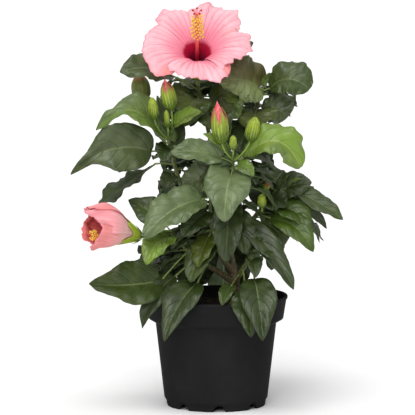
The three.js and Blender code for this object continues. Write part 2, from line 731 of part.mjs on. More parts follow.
function boughGeometry(shoot, trunkCut) {
  const bough = solidOf(limb(shoot.curve, 0, shoot.split, shootRadius(shoot), LIMB_SIDES, 5));
  return geometryFrom(bough.subtract(trunkCut));
}

function massGeometry(shoot) {
  const gap = GAP / shoot.curve.getLength();
  let mass = solidOf(limb(shoot.curve, shoot.split + gap, 1, shootRadius(shoot), STEM_SIDES, 6));
  for (const leaf of shoot.grown) mass = mass.add(solidOf(leafGeometry(leaf)));
  for (const bud of shoot.buds) {
    for (const piece of budGeometries(shoot, bud)) mass = mass.add(solidOf(piece));
  }
  return geometryFrom(mass);
}

// Blooms: five petals fused round a throat, a calyx cup on its stalk, and the staminal column.
// Heights run along the bloom's axis from its throat; the profile gives [share, radius, height].
// A petal reads [turn, reach at five crossings, lift at its two sides, curl outward].

const BLOOMS = [
  {
    name: 'open_bloom',
    throat: [-17, -20, 325],
    axis: [0, -0.643, 0.766],
    petals: [
      [-166, [44, 48, 50.5, 51.5, 46], [1.4, -1.4], 0],
      [106, [50, 51, 49.5, 56, 44], [-1, -1.4], 0],
      [46, [44, 43, 54, 53.5, 48], [-1.6, 1], 0],
      [-12, [42, 41.5, 48.8, 48, 38], [1.8, 1.6], 0],
      [-84, [44, 43.5, 46.2, 49.5, 41], [1.4, -1.8], 0],
    ],
    profile: [[0, 4.6, -30], [0.2, 6.4, -16], [0.42, 13, -3], [0.6, 25, 5], [0.8, 39, 8.5], [1, 51, 7]],
    fullReach: 51,
    spread: 47,
    ruffle: 1.6,
    columnFrom: [-17, -20, 325],
    columnAxis: [0, -0.643, 0.766],
    column: [[2.3, -29.9], [1.9, -12], [1.8, 12], [3.8, 18], [4.2, 30], [3.4, 39], [1.2, 43]],
    stigma: [47, 4.2],
    shoot: 'leader',
  },
  {
    name: 'side_bloom',
    throat: [-80, -52, 163.5],
    axis: [-0.8, -0.5, 0.3],
    petals: [
      [100, [41, 45.5, 46, 45.5, 42], [-2.2, -1.2], -9],
      [38, [34, 43, 46, 45, 40], [-1.2, 1.2], -9],
      [-50, [31, 39, 39, 39, 38], [-1, 1], 3],
      [-125, [34, 37, 36, 33, 28], [-1, 1], -1],
      [170, [30, 35, 38, 38, 36], [1, 1], -6],
    ],
    profile: [
      [0, 4.4, -9], [0.16, 8.2, 0], [0.3, 12.8, 8], [0.46, 17.4, 17], [0.65, 19.4, 28],
      [0.82, 18, 38], [1, 14.5, 48],
    ],
    fullReach: 48,
    spread: 52,
    ruffle: 0,
    columnFrom: [-72.8, -47.5, 160.8],
    columnAxis: [-0.885, -0.461, 0.05],
    column: [[1.7, 0.1], [1.4, 12], [1.3, 33], [3, 36], [3.5, 39.5], [1.4, 43]],
    stigma: [44.5, 2],
    shoot: 'low_left',
  },
];
const PETAL_THICKNESS = 1.1;
const PETAL_CROSSINGS = [-1, -0.5, 0, 0.5, 1];
const PETAL_FREE = [0.3, 1];
const PETAL_CURL_ZONE = [0.55, 1];
const PETAL_CURL_POWER = 1.8;
const PETAL_CURL_SIDES = 0.4;
const PETAL_TIP_DROP = 0.1;
const RUFFLE_WAVES = 9;
const COLUMN_SIDES = 7;
const STIGMA_LOBES = 5;
const STYLE_RADII = [0.5, 1.2];
const CALYX_WALL = 1;
const CALYX_DEPTH = 9;
const CALYX_SIDES = 12;
const CALYX_FOOT = [[1.4, -7], [4.6, -3.4]];
const CALYX_SEAT = 5;
const CALYX_STALK_PULL = 0.3;

function bloomFrame(from, along) {
  const axis = at(...along).normalize();
  const across = UP.clone().cross(axis).normalize();
  const other = axis.clone().cross(across).normalize();
  const place = (radius, degrees, height) => at(...from)
    .addScaledVector(axis, height)
    .addScaledVector(across, radius * Math.cos(radians(degrees)))
    .addScaledVector(other, radius * Math.sin(radians(degrees)));
  return { axis, place };
}

function profileAt(profile, share) {
  const next = profile.findIndex(([s]) => s >= share);
  if (next <= 0) return profile[0].slice(1);
  const [low, high] = [profile[next - 1], profile[next]];
  const part = (share - low[0]) / (high[0] - low[0]);
  return [1, 2].map((i) => THREE.MathUtils.lerp(low[i], high[i], part));
}

// One petal: a thin shell over the profile, each crossing drawn out to its own reach. What lifts it,
// its laps and its thickness stand square to the profile.
function petalGeometry(bloom, [degrees, reach, laps, curl]) {
  const frame = bloomFrame(bloom.throat, bloom.axis);
  const shares = bloom.profile.map(([share]) => share);
  const last = shares.length - 1;
  const { smoothstep, lerp } = THREE.MathUtils;
  const sections = shares.map((share) => PETAL_CROSSINGS.map((v, k) => {
    const grown = share * lerp(1, reach[k] / bloom.fullReach, smoothstep(share, ...PETAL_FREE));
    const over = Math.max(grown - 1, 0) * bloom.fullReach;
    const [radius, height] = profileAt(bloom.profile, Math.min(grown, 1));
    const bent = smoothstep(share, ...PETAL_CURL_ZONE) ** PETAL_CURL_POWER;
    const curled = curl * bent * (1 - PETAL_CURL_SIDES * v * v);
    return [radius + over + curled, height - PETAL_TIP_DROP * over];
  }));
  const grid = (offset) => sections.map((row, i) => row.map(([radius, height], k) => {
    const before = sections[Math.max(i - 1, 0)][k];
    const after = sections[Math.min(i + 1, last)][k];
    const [run, climb] = [after[0] - before[0], after[1] - before[1]];
    const step = Math.hypot(run, climb);
    const v = PETAL_CROSSINGS[k];
    const turn = degrees + bloom.spread * v;
    const lap = Math.abs(v) * (v < 0 ? laps[0] : laps[1]) * shares[i];
    const ruffle = bloom.ruffle * shares[i] ** 2 * Math.cos(radians(RUFFLE_WAVES * turn));
    const lift = offset + lap + ruffle;
    return frame.place(radius - (lift * climb) / step, turn, height + (lift * run) / step);
  }));
  const upper = grid(PETAL_THICKNESS / 2);
  const lower = grid(-PETAL_THICKNESS / 2);
  return loft(shares.map((_, i) => [...upper[i], ...lower[i].slice().reverse()]));
}

function petalsGeometry(bloom) {
  let petals = null;
  for (const row of bloom.petals) {
    const petal = solidOf(petalGeometry(bloom, row));
    petals = petals ? petals.add(petal) : petal;
  }
  return geometryFrom(petals);
}

// Rings of points round a bloom's axis, from a profile of [radius, height]
function turnedRings(frame, profile, sides) {
  return profile.map(([radius, height]) => (
    Array.from({ length: sides }, (_, k) => frame.place(radius, (360 * k) / sides, height))));
}

function columnGeometry(bloom) {
  const frame = bloomFrame(bloom.columnFrom, bloom.columnAxis);
  let column = solidOf(loft(turnedRings(frame, bloom.column, COLUMN_SIDES)));
  const [height, reach] = bloom.stigma;
  const foot = bloom.column[bloom.column.length - 1][1] - 2;
  for (let k = 0; k < STIGMA_LOBES; k++) {
    const turn = (360 * (k + 0.25)) / STIGMA_LOBES;
    const style = new THREE.LineCurve3(frame.place(0.3, turn, foot), frame.place(reach, turn, height));
    column = column.add(solidOf(limb(style, 0, 1, (t) => THREE.MathUtils.lerp(...STYLE_RADII, t), 4, 2)));
  }
  return geometryFrom(column);
}

function calyxGeometry(bloom) {
  const frame = bloomFrame(bloom.throat, bloom.axis);
  const [, baseRadius, baseHeight] = bloom.profile[0];
  const floor = baseHeight - PETAL_THICKNESS / 2 - GAP;
  const [, wideRadius, wideHeight] = bloom.profile[1];
  const slope = (wideRadius - baseRadius) / (wideHeight - baseHeight);
  const inner = baseRadius + PETAL_THICKNESS + GAP;
  const outer = inner + CALYX_WALL;
  const mouth = floor + CALYX_DEPTH;
  const cup = [
    ...CALYX_FOOT.map(([radius, height]) => [radius, floor + height]),
    [outer, floor],
    [outer + slope * CALYX_DEPTH, mouth],
    [outer - CALYX_WALL / 2 + slope * CALYX_DEPTH, mouth],
    [inner, floor],
  ];
  const shoot = SHOOTS.find(({ name }) => name === bloom.shoot);
  const end = shoot.curve.getPoint(1);
  const leave = shoot.curve.getTangent(1);
  const seat = frame.place(0, 0, floor - CALYX_SEAT);
  const span = end.distanceTo(seat);
  const stalk = new THREE.CubicBezierCurve3(
    end.clone().addScaledVector(leave, GAP),
    end.clone().addScaledVector(leave, GAP + CALYX_STALK_PULL * span),
    seat.clone().addScaledVector(frame.axis, -CALYX_STALK_PULL * span),
    seat);
  const thick = shoot.radii[1];
  const stem = solidOf(limb(stalk, 0, 1, () => thick, STEM_SIDES, 5));
  return geometryFrom(solidOf(loft(turnedRings(frame, cup, CALYX_SIDES))).add(stem));
}

// Materials, one for each finish

const finishes = {
  pot: new THREE.MeshStandardMaterial({ color: 0x262628, roughness: 0.5, metalness: 0 }),
  soil: new THREE.MeshStandardMaterial({ color: 0x1c130c, roughness: 1, metalness: 0 }),
  bark: new THREE.MeshStandardMaterial({ color: 0x6b5238, roughness: 0.85, metalness: 0 }),
  green_wood: new THREE.MeshStandardMaterial({ color: 0x5f6638, roughness: 0.7, metalness: 0 }),
  leaf: new THREE.MeshStandardMaterial({ color: 0x4c5f34, roughness: 0.45, metalness: 0 }),
  petal: new THREE.MeshStandardMaterial({ color: 0xf9b9be, roughness: 0.6, metalness: 0 }),
  column: new THREE.MeshStandardMaterial({ color: 0xf2a83c, roughness: 0.7, metalness: 0 }),
  calyx: new THREE.MeshStandardMaterial({ color: 0x8fa83c, roughness: 0.55, metalness: 0 }),
};

function piece(name, geometry, finish) {
  const mesh = new THREE.Mesh(geometry, finishes[finish]);
  mesh.name = name;
  return mesh;
}

const group = new THREE.Group();
const plant = new THREE.Group();

growShoots();
fillShoots();

group.add(piece('pot', potGeometry(), 'pot'));
group.add(piece('soil', soilGeometry(), 'soil'));
plant.add(piece('trunk', trunkGeometry(0), 'bark'));
const trunkCut = solidOf(trunkGeometry(GAP));
for (const shoot of SHOOTS) {
  if (shoot.from !== null) {
    plant.add(piece(`bough_${shoot.name}`, boughGeometry(shoot, trunkCut), 'green_wood'));
  }
  plant.add(piece(`foliage_${shoot.name}`, massGeometry(shoot), 'leaf'));
}
for (const bloom of BLOOMS) {
  plant.add(piece(`${bloom.name}_petals`, petalsGeometry(bloom), 'petal'));
  plant.add(piece(`${bloom.name}_column`, columnGeometry(bloom), 'column'));
  plant.add(piece(`${bloom.name}_calyx`, calyxGeometry(bloom), 'calyx'));
}
group.add(plant);

export default group;
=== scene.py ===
import math

import bpy
import numpy as np
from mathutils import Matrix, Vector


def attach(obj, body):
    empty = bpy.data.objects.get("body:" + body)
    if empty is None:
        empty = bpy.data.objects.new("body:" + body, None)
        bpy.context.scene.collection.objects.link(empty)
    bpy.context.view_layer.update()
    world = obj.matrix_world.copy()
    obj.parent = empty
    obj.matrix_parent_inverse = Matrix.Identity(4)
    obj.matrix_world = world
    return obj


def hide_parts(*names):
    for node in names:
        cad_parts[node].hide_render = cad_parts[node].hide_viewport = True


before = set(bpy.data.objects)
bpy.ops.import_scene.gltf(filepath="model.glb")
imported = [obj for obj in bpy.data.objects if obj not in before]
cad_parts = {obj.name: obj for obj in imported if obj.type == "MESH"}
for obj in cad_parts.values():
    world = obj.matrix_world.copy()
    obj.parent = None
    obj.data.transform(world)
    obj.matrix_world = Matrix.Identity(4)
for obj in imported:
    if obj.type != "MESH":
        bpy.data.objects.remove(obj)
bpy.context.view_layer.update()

# A flowering hibiscus shrub in its nursery pot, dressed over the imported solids.
# The tables and the surfaces are in millimetres, in the solids' frame, and a piece's mesh is in metres.
# The shoots, their leaves and the rule that fills them are the ones that the solids grow by.

MM = 0.001
UP = np.array([0.0, 0.0, 1.0])

# The camera, where the photograph was taken from
PHOTO_PIXELS = 415
SENSOR_MM = 36.0
FOCAL_PIXELS = 3336.0
CAMERA_AT = (-0.0077, -3.0, 0.5193)
CAMERA_AIM = (-0.0077, 0.0, 0.1801)
FLOOR_HALF = 40.0
FLOOR_SHADE = (0.96, 0.96, 0.96, 1.0)

# The light: an even glow, and suns as (strength, angle across, turn, height)
GLOW = 0.25
SUNS = {
    "key_light": (1.5, 36, -16, 60),
    "front_light": (0.95, 22, -6, 24),
    "top_light": (1.3, 120, 150, 78),
}

# The pot
POT_HEIGHT = 100.5
POT_RIM_RADIUS = 65.0
POT_BAND_BOTTOM = 79.7
POT_BAND_BOTTOM_RADIUS = 61.2
POT_NECK_HEIGHT = 76.0
POT_NECK_RADIUS = 54.9
POT_SHOULDER_HEIGHT = 7.5
POT_SHOULDER_RADIUS = 47.0
POT_FOOT_RADIUS = 44.7
POT_LIP_HEIGHT = 2.6
POT_LIP_PROUD = 1.0
POT_LIP_EDGE = 0.8
POT_LIP_WIDTH = 2.2
POT_WALL = 1.5
POT_FLOOR = 6.0
POT_FLOOR_THICKNESS = 1.8
POT_FOOT_WALL = 3.0
POT_HUB_RADIUS = 13.0
POT_NOTCHES = 8
POT_NOTCH_RADIUS = 5.5
POT_NOTCH_TURN = -86.0
POT_FOOT_FLARE = (0.6, 3.0)
POT_SHOULDER_EDGE = (0.3, 0.6)
POT_BAND_EDGE = (0.5, 0.4)
POT_ROUNDING = 0.7
POT_HUB_CLEAR = 5.0
POT_POLE = 0.01
POT_SIDES = 384

# The soil and the trunk; the crumbs' pairs read (least, spread)
SOIL_TOP = 89.0
SOIL_BUMP = 1.8
SOIL_LEVEL_PATCH = 24.0
SOIL_PATCH_BLEND = 14.0
SOIL_REACH = POT_RIM_RADIUS - 2 * POT_LIP_PROUD - POT_WALL
SOIL_GAP = 3.3
SOIL_POLE = 0.05
SOIL_DRAWN_IN = 3.0
SOIL_BAND_CLEAR = 1.0
SOIL_NECK_CLEAR = 1.2
SOIL_DISH = 2.0
SOIL_RINGS = 90
SOIL_SIDES = 220
CRUMBS = 900
CRUMB_GAP = 5.0
CRUMB_TRUNK_GAP = 9.0
CRUMB_WAVE = 0.55
CRUMB_SHORTER = 1.9
CRUMB_LOWER = 1.7
CRUMB_RELIEF = 0.55
CRUMB_SIZE = (0.5, 1.5)
CRUMB_STRETCH = 1.2
CRUMB_WIDE = (0.7, 0.5)
CRUMB_TALL = 0.6
CRUMB_LIFT = 0.2
LIGHT_CRUMBS = 0.3
FIBRE_SHARE = 0.25
FIBRE_STRETCH = 3.2
TRUNK_FOOT = (18.0, 0.0)
TRUNK_PATH = [(18, 0, 89.3), (17, 0, 108), (14, 0, 128), (7, 2, 150), (2, 7, 176)]
TRUNK_FLARE = 4.2
TRUNK_FLARE_HEIGHT = 7.0
TRUNK_FOOT_RADIUS = 4.9
TRUNK_TIP_RADIUS = 2.7
TRUNK_RINGS, TRUNK_SIDES = 130, 48
TRUNK_SCARS = (24, 37, 49, 61, 72, 80)
TRUNK_SCAR_WIDTH = 1.1
TRUNK_SCAR_SWELL = 0.4
FLARE_LOBES = 0.12

# The boughs and stems
BOUGH_RINGS, BOUGH_SIDES = 60, 24
BOUGH_SCARS = (11, 19, 27, 35)
BOUGH_SCAR_WIDTH = 0.9
BOUGH_SCAR_SWELL = 0.14
BOUGH_COLLAR = 0.28
BOUGH_BARK = 0.6
STEM_RINGS, STEM_SIDES = 90, 12
JOINT_WIDTH = 0.012
JOINT_SWELL = 0.16

# The furled leaves at a growing tip, where a pair reads (first leaf, more on each following one)
TIP_LEAVES = 3
TIP_TURN = 40
TIP_OUT, TIP_RISE = 0.7, 0.3
TIP_LENGTH = (9, 4)
TIP_WIDTH = (5, 1)
TIP_PETIOLE, TIP_LEAN, TIP_SAG = 1.5, 45, 0.15

# The leaves and the rule that fills a shoot's space with them
LEAF_FOLD = 16.0
LEAF_WIDEST = 0.33
LEAF_BASE_POWER = 0.55
PETIOLE_RADIUS = 0.95
PETIOLE_RISE = 0.3
LEAF_HEADING = -90
LEAF_ARCH = (0.6, 0.4)
STALK_ARCH = 0.08
SAMPLES_ACROSS = (-0.9, -0.45, 0, 0.45, 0.9)
SAMPLES_OUTER = (0.42, 0.54, 0.66, 0.78, 0.9, 1.0)
SAMPLES_FOOT = (0.06, 0.18, 0.3)
SAMPLES_STALK = (0.55, 0.85)
LEAF_CLEAR_OTHERS = 6.0
LEAF_CLEAR_OWN = 4.5
LIMB_CLEAR = 4.0
LEAF_TRIES = 20
LEAF_WIDTH_SHARE = 0.66
RULE_END = 0.97
RULE_DROOP = (38.0, 6.0)
RULE_DROOP_SPREAD = 36.0
RULE_TURN_SPREAD = 60.0
RULE_LENGTH = (0.85, 0.3)
RULE_LEAN = (20.0, 40.0)
RULE_SAG = (0.05, 0.17)
RULE_PETIOLE = (0.2, 0.15)
RULE_OUTLINES = "fpfhfrfp"
RULE_TONES = "ddmdmo"
RULE_TIP_TONES = "mdmlom"
RULE_TIP_FROM = 0.75
GOLDEN_ANGLE = 137.5
SIGHT_DROP = 0.113

# Gaps that stay open as seen from the front: left, right, bottom, top
WINDOWS = [
    (-34, -13, 238, 257), (-62, -46, 228, 250), (-70, -56, 174, 190), (-42, -26, 162, 188),
    (-8, 4, 104, 118), (28, 36, 186, 194), (22, 38, 160, 172), (8, 20, 252, 262), (58, 76, 232, 258),
    (62, 120, 100, 148), (44, 62, 100, 124), (-62, -50, 196, 214), (56, 92, 217, 232),
]

# A leaf's outline: the powers of its foot and of its tip, how much its tail narrows, and how far
# its margin is toothed and waved
OUTLINES = {
    "p": (0.50, 1.02, 0.0, 0.9),
    "f": (0.42, 0.74, 0.0, 0.9),
    "e": (0.56, 0.80, 0.0, 0.6),
    "a": (0.48, 0.84, 0.22, 0.35),
    "r": (0.50, 0.44, 0.0, 1.0),
    "b": (0.75, 0.52, 0.0, 1.0),
    "w": (1.30, 0.60, 0.0, 1.0),
    "t": (0.42, 0.74, 0.62, 0.7),
    "l": (0.34, 0.66, 0.55, 1.0),
    "h": (0.36, 0.58, 0.34, 0.8),
}

# Where a tail narrows along the leaf
TAIL_FROM, TAIL_TO = 0.45, 0.78

# How far the lobes of a leaf's foot run back past its stalk, as a share of its width
LOBES = {"h": 0.34, "l": 0.34, "f": 0.07}

# A blade's fine forms: teeth, twist, fold, waves, side veins, quilting and belly, where a pair reads
# (least, spread)
TOOTH_LENGTH = 7
TOOTH_DEPTH = 0.075
BLADE_TWIST = 0.5
FOLD_SPREAD = 8
WAVE_COUNT = (1.7, 1.3)
WAVE_HEIGHT = (0.055, 0.05)
VEIN_SLANT = 0.36
VEIN_CURVE = 1.15
VEIN_COUNT = 5.2
QUILT_HEIGHT = 0.022
BELLY_HEIGHT = 0.05
BLADE_THICKNESS = 0.34

# The rib under a blade: where it ends, the radius that tapers away and the one that stays, how far it is
# let in, and the leaf length from which it has its full thickness
RIB_END = 0.9
RIB_RADIUS = (0.75, 0.12)
RIB_LET_IN = 0.45
RIB_FULL_LENGTH = 45

# A leaf stalk: the leaf length from which it has its full thickness, its share of that thickness, and
# (what is added, over what width) at the stem and at the blade
STALK_FULL_LENGTH = 42
STALK_RINGS, STALK_SIDES = 9, 7
STALK_THICK = 0.82
STALK_AT_STEM, STALK_AT_BLADE = (0.5, 0.1), (0.22, 0.12)

# Rows and columns of a blade: named leaves, leaves of the rule, and leaves shorter than a small one
NAMED_GRID = (38, 17)
RULE_GRID = (24, 11)
SMALL_GRID = (14, 7)
SMALL_LEAF = 20

# Young leaves that fill in between, smaller than the solids' and closer together
FINER_COUNT = 16
FINER_SEED = 1000
FINER_TURN = 40
FINER_LENGTHS = (36.0, 24.0)
FINER_CLEAR = 2.6
FINER_LIMB_CLEAR = 1.6

# A leaf reads [place on the shoot, tip x, y, z, petiole, width, lean, sag, heading, rise], as in the
# solids. The letters of tones give each leaf's finish in the rows' order: d deep, m mid, s sage, o olive,
# l light, y young, g grass, c cool, b bronze. Those of outlines give its outline: p pointed, f full,
# e even, a acute, r rounded, b broad, w widest near its tip, t tailed, l lobed and tailed, h heart-shaped.
# A bud reads [place on the shoot, foot x, y, z, top x, y, z, width]. The row called open says how far
# each bud has opened, and ripe how far its tips have turned and, above 1, how far all of it has darkened.
# A space reads (lowest, highest) for x, y and z.
SHOOTS = [
    {
        "name": "left", "from": 146, "split": 0.42, "radii": (3, 1.3),
        "path": [(-10, -5, 160), (-27, -12, 190), (-37, -18, 220), (-43, -28, 246)],
        "leaves": [
            [0.97, -107, -45, 254, 12, 40, 38, 0.38],
            [0.86, -130, -40, 214, 18, 46, 84, 0.2],
            [0.76, -106, -12, 183, 18, 24, 34, 0, -90, 0.5],
            [0.96, -47, -46, 226, 6, 21, 60, 0.1],
            [0.98, -13, -36, 270, 15, 18, 45, 0.1, -90, 1.0],
            [0.7, -45, -30, 200, 8, 18, 50, 0.15],
            [0.97, -53, -24, 284, 6, 10, 70, 0.05],
            [0.8, -30, -18, 261, 6, 16, 70, 0.1],
        ],
        "tones": "lsddydmd", "outlines": "ltwfffee",
        "buds": [
            [0.93, -66.5, 5, 276, -70, 6, 304, 17],
            [0.97, -40, -36, 272, -46, -42, 300.5, 13.5],
            [0.99, -55, -42, 264, -57, -48, 284, 9],
            [0.99, -43, -38, 256, -44.5, -42, 272, 5],
        ],
        "open": (0.55, 0.75, 0.1, 0.0), "ripe": (1.7, 1, 0, 0),
        "rule": {"count": 5, "seed": 11, "length": (44, 34), "first": 0.5, "turn": 100},
        "space": ((-62, -8), (-24, 46), (150, 236)),
    },
    {
        "name": "leader", "from": None, "split": 0, "radii": (2.6, 1.5),
        "path": [(0, 11, 200), (-5, 14, 239), (-12, 13, 270), (-17, 7, 291)],
        "leaves": [
            [0.93, -86.5, -12, 303.5, 30, 32, 50, 0.12],
            [0.84, -36, -6, 268, 8, 38, 50, 0.2],
            [0.84, 20, -14, 262, 10, 40, 52, 0.16],
            [0.86, -28, -28, 256, 6, 36, 50, 0.2],
            [0.8, 4, -26, 246, 8, 42, 45, 0.2],
            [0.98, 34, 24, 328, 14, 26, 60, 0.1],
            [0.7, -23, -18, 255, 10, 20, 55, 0.15, -90, 1.2],
        ],
        "tones": "sgggmmd", "outlines": "fefefef",
        "rule": {"count": 12, "seed": 5, "length": (54, 44), "first": 0.08, "turn": 60},
        "space": ((-50, 50), (6, 88), (170, 300)),
    },
    {
        "name": "front", "from": 130, "split": 0.4, "radii": (2.9, 1.3),
        "path": [(12, -14, 152), (13, -30, 189), (14.5, -42, 214), (15, -48, 230)],
        "leaves": [
            [0.96, 75, -50, 221, 10, 36, 50, 0.43],
            [0.84, 7, -78, 176, 9, 43, 35, 0.2],
            [0.9, 33, -64, 215, 6, 15, 60, 0.15],
            [0.92, -41, -54, 235, 12, 26, 55, 0.08],
            [0.98, -12, -54, 252, 7, 11, 50, 0.1],
            [0.75, -30, -34, 200, 13, 32, 60, 0.1],
            [0.46, 27, -48, 143, 8, 27, 45, 0.15],
            [0.44, 69, -60, 113, 10, 24, 40, 0.07],
            [0.55, 9, -56, 137, 8, 29, 42, 0.16],
        ],
        "tones": "yclcysddd", "outlines": "bhffeffef",
        "buds": [
            [0.97, 5, -58, 244, 0.7, -64, 282, 15],
            [0.99, 15, -58, 238, 15, -61, 251, 7],
            [0.95, 30, -54, 245.5, 35, -56, 267, 12],
        ],
        "open": (1.0, 0.0, 0.05), "ripe": (1, 0, 0),
        "rule": {"count": 2, "seed": 3, "length": (40, 34), "first": 0.5, "turn": 20},
        "space": ((-16, 54), (-60, -8), (150, 238)),
    },
    {
        "name": "right", "from": 145, "split": 0.36, "radii": (2.9, 1.3),
        "path": [(22, 0, 157), (37, -10, 175), (50, -16, 191), (64, -18, 200)],
        "leaves": [
            [0.97, 114, -28, 172, 8, 21, 40, 0.04],
            [0.92, 100, -12, 162, 9, 13, 50, 0.06],
            [0.84, 94, 4, 147, 9, 10, 30, 0.1],
            [0.62, 84, -26, 163, 8, 26, 42, 0.2],
            [0.5, 87, -36, 144, 14, 27, 48, 0.18],
            [0.72, 86, -22, 205, 9, 28, 50, 0.08],
            [0.58, 62, -34, 184, 8, 30, 48, 0.2],
            [0.68, 62, -4, 214, 12, 24, 45, 0.15],
            [0.44, 62, -16, 148, 9, 28, 42, 0.15],
        ],
        "tones": "mddggdddm", "outlines": "eeeeeeeff",
        "buds": [
            [0.66, 43, -30, 200, 48, -38, 208, 6],
            [0.6, 41, -34, 184, 41, -38, 196.5, 8],
        ],
        "open": (1.0, 0.0), "ripe": (1, 0),
        "rule": {"count": 5, "seed": 8, "length": (50, 42), "first": 0.4, "turn": 50},
        "space": ((14, 92), (-20, 46), (128, 216)),
    },
    {
        "name": "right_back", "from": 158, "split": 0.42, "radii": (2.8, 1.3),
        "path": [(13, 12, 176), (23, 20, 215), (31, 22, 250), (43, 14, 289)],
        "leaves": [
            [0.98, 3, -12, 294, 4, 46, 68, 0.12],
            [0.97, 84.5, 2, 287, 8, 37, 52, 0.26],
            [0.84, 65, 12, 261, 8, 35, 55, 0.2],
            [0.86, 34, -10, 251, 8, 44, 52, 0.16],
            [0.5, 46, 4, 178, 8, 32, 50, 0.12],
            [0.8, 20, -2, 229, 5, 36, 60, 0.1],
        ],
        "tones": "bmsodd", "outlines": "frrffe",
        "rule": {"count": 9, "seed": 21, "length": (50, 42), "first": 0.46, "turn": 90},
        "space": ((-6, 76), (4, 84), (186, 292)),
    },
    {
        "name": "low_left", "from": 112, "split": 0.34, "radii": (2.8, 1.3),
        "path": [(0, -10, 124), (-16, -22, 136), (-29, -29, 148), (-40, -34, 161)],
        "leaves": [
            [0.9, -79, -18, 189, 20, 29, 54, 0.06],
            [0.94, -62, -72, 137, 6, 28, 35, 0.2],
            [0.66, -113, -70, 120, 37, 45, 62, -0.045, -90, -0.66],
            [0.5, -66, -52, 77, 28, 24, 30, 0.14],
        ],
        "tones": "mymd", "outlines": "afap",
        "rule": {"count": 5, "seed": 31, "length": (46, 38), "first": 0.4, "turn": 150},
        "space": ((-78, -8), (-34, 24), (104, 160)),
    },
    {
        "name": "centre_left", "from": 121, "split": 0.34, "radii": (2.8, 1.3),
        "path": [(6, -15, 136), (-2, -28, 158), (-5, -37, 178), (-5, -43, 197)],
        "leaves": [
            [0.96, -64, -72, 161, 9, 38, 45, 0.12],
            [0.6, -29, -44, 162, 8, 20, 25, 0.1],
            [0.44, -23, -56, 119, 8, 26, 35, 0.16],
            [0.38, -46, -84, 70, 42, 32, 30, 0.12, -90, 0],
            [0.8, -30, -58, 160, 4, 24, 60, 0.1],
        ],
        "tones": "cdmdd", "outlines": "fpfaf",
        "rule": {"count": 3, "seed": 41, "length": (40, 34), "first": 0.4, "turn": 0},
        "space": ((-50, 10), (-60, 0), (120, 200)),
    },
    {
        "name": "low_right", "from": 108, "split": 0.34, "radii": (2.7, 1.3),
        "path": [(19, -13, 116), (24, -26, 128), (30, -36, 138), (34, -42, 148)],
        "leaves": [
            [0.84, 41, -88, 71, 24, 34, 34, 0.12, -90, 0],
            [0.5, 31, -80, 73, 26, 32, 30, 0.1, -90, 0],
            [0.38, 5, -68, 100, 26, 15, 35, 0.1, -90, 0.1],
        ],
        "tones": "ddm", "outlines": "aaf",
        "rule": {"count": 4, "seed": 51, "length": (44, 38), "first": 0.36, "turn": -20},
        "space": ((26, 92), (-70, -8), (106, 150)),
    },
    {
        "name": "rear_left", "from": 132, "split": 0.36, "radii": (2.9, 1.3),
        "path": [(-2, 15, 144), (-15, 28, 166), (-21, 37, 188), (-22, 42, 206)],
        "leaves": [
            [0.5, -70, 74, 84, 20, 36, 40, 0.14, 130],
            [0.9, -44, 92, 168, 12, 36, 50, 0.18, 110],
            [0.4, -47, 12, 110, 10, 36, 50, 0.12],
            [0.44, -14, 26, 105, 8, 34, 45, 0.12],
        ],
        "tones": "mmdd", "outlines": "ffff",
        "rule": {"count": 12, "seed": 61, "length": (56, 44), "first": 0.38, "turn": 80},
        "space": ((-78, 4), (14, 104), (112, 236)),
    },
    {
        "name": "rear", "from": 124, "split": 0.36, "radii": (2.9, 1.3),
        "path": [(14, 16, 136), (9, 34, 156), (5, 46, 182), (4, 50, 210)],
        "leaves": [
            [0.46, 6, 96, 70, 20, 36, 40, 0.12, 90],
            [0.42, 22, 26, 105, 8, 28, 45, 0.12],
            [0.6, 18, 20, 150, 8, 34, 45, 0.12],
        ],
        "tones": "mdd", "outlines": "fff",
        "rule": {"count": 12, "seed": 71, "length": (56, 44), "first": 0.38, "turn": 30},
        "space": ((-40, 44), (30, 112), (112, 244)),
    },
    {
        "name": "rear_right", "from": 114, "split": 0.36, "radii": (2.9, 1.3),
        "path": [(26, 13, 126), (38, 26, 146), (46, 33, 168), (50, 36, 190)],
        "leaves": [
            [0.5, 52, 96, 110, 14, 34, 40, 0.14, 60],
            [0.56, 34, 6, 136, 8, 32, 50, 0.12],
        ],
        "tones": "md", "outlines": "ff",
        "rule": {"count": 12, "seed": 81, "length": (54, 44), "first": 0.38, "turn": 10},
        "space": ((18, 104), (8, 100), (112, 216)),
    },
]

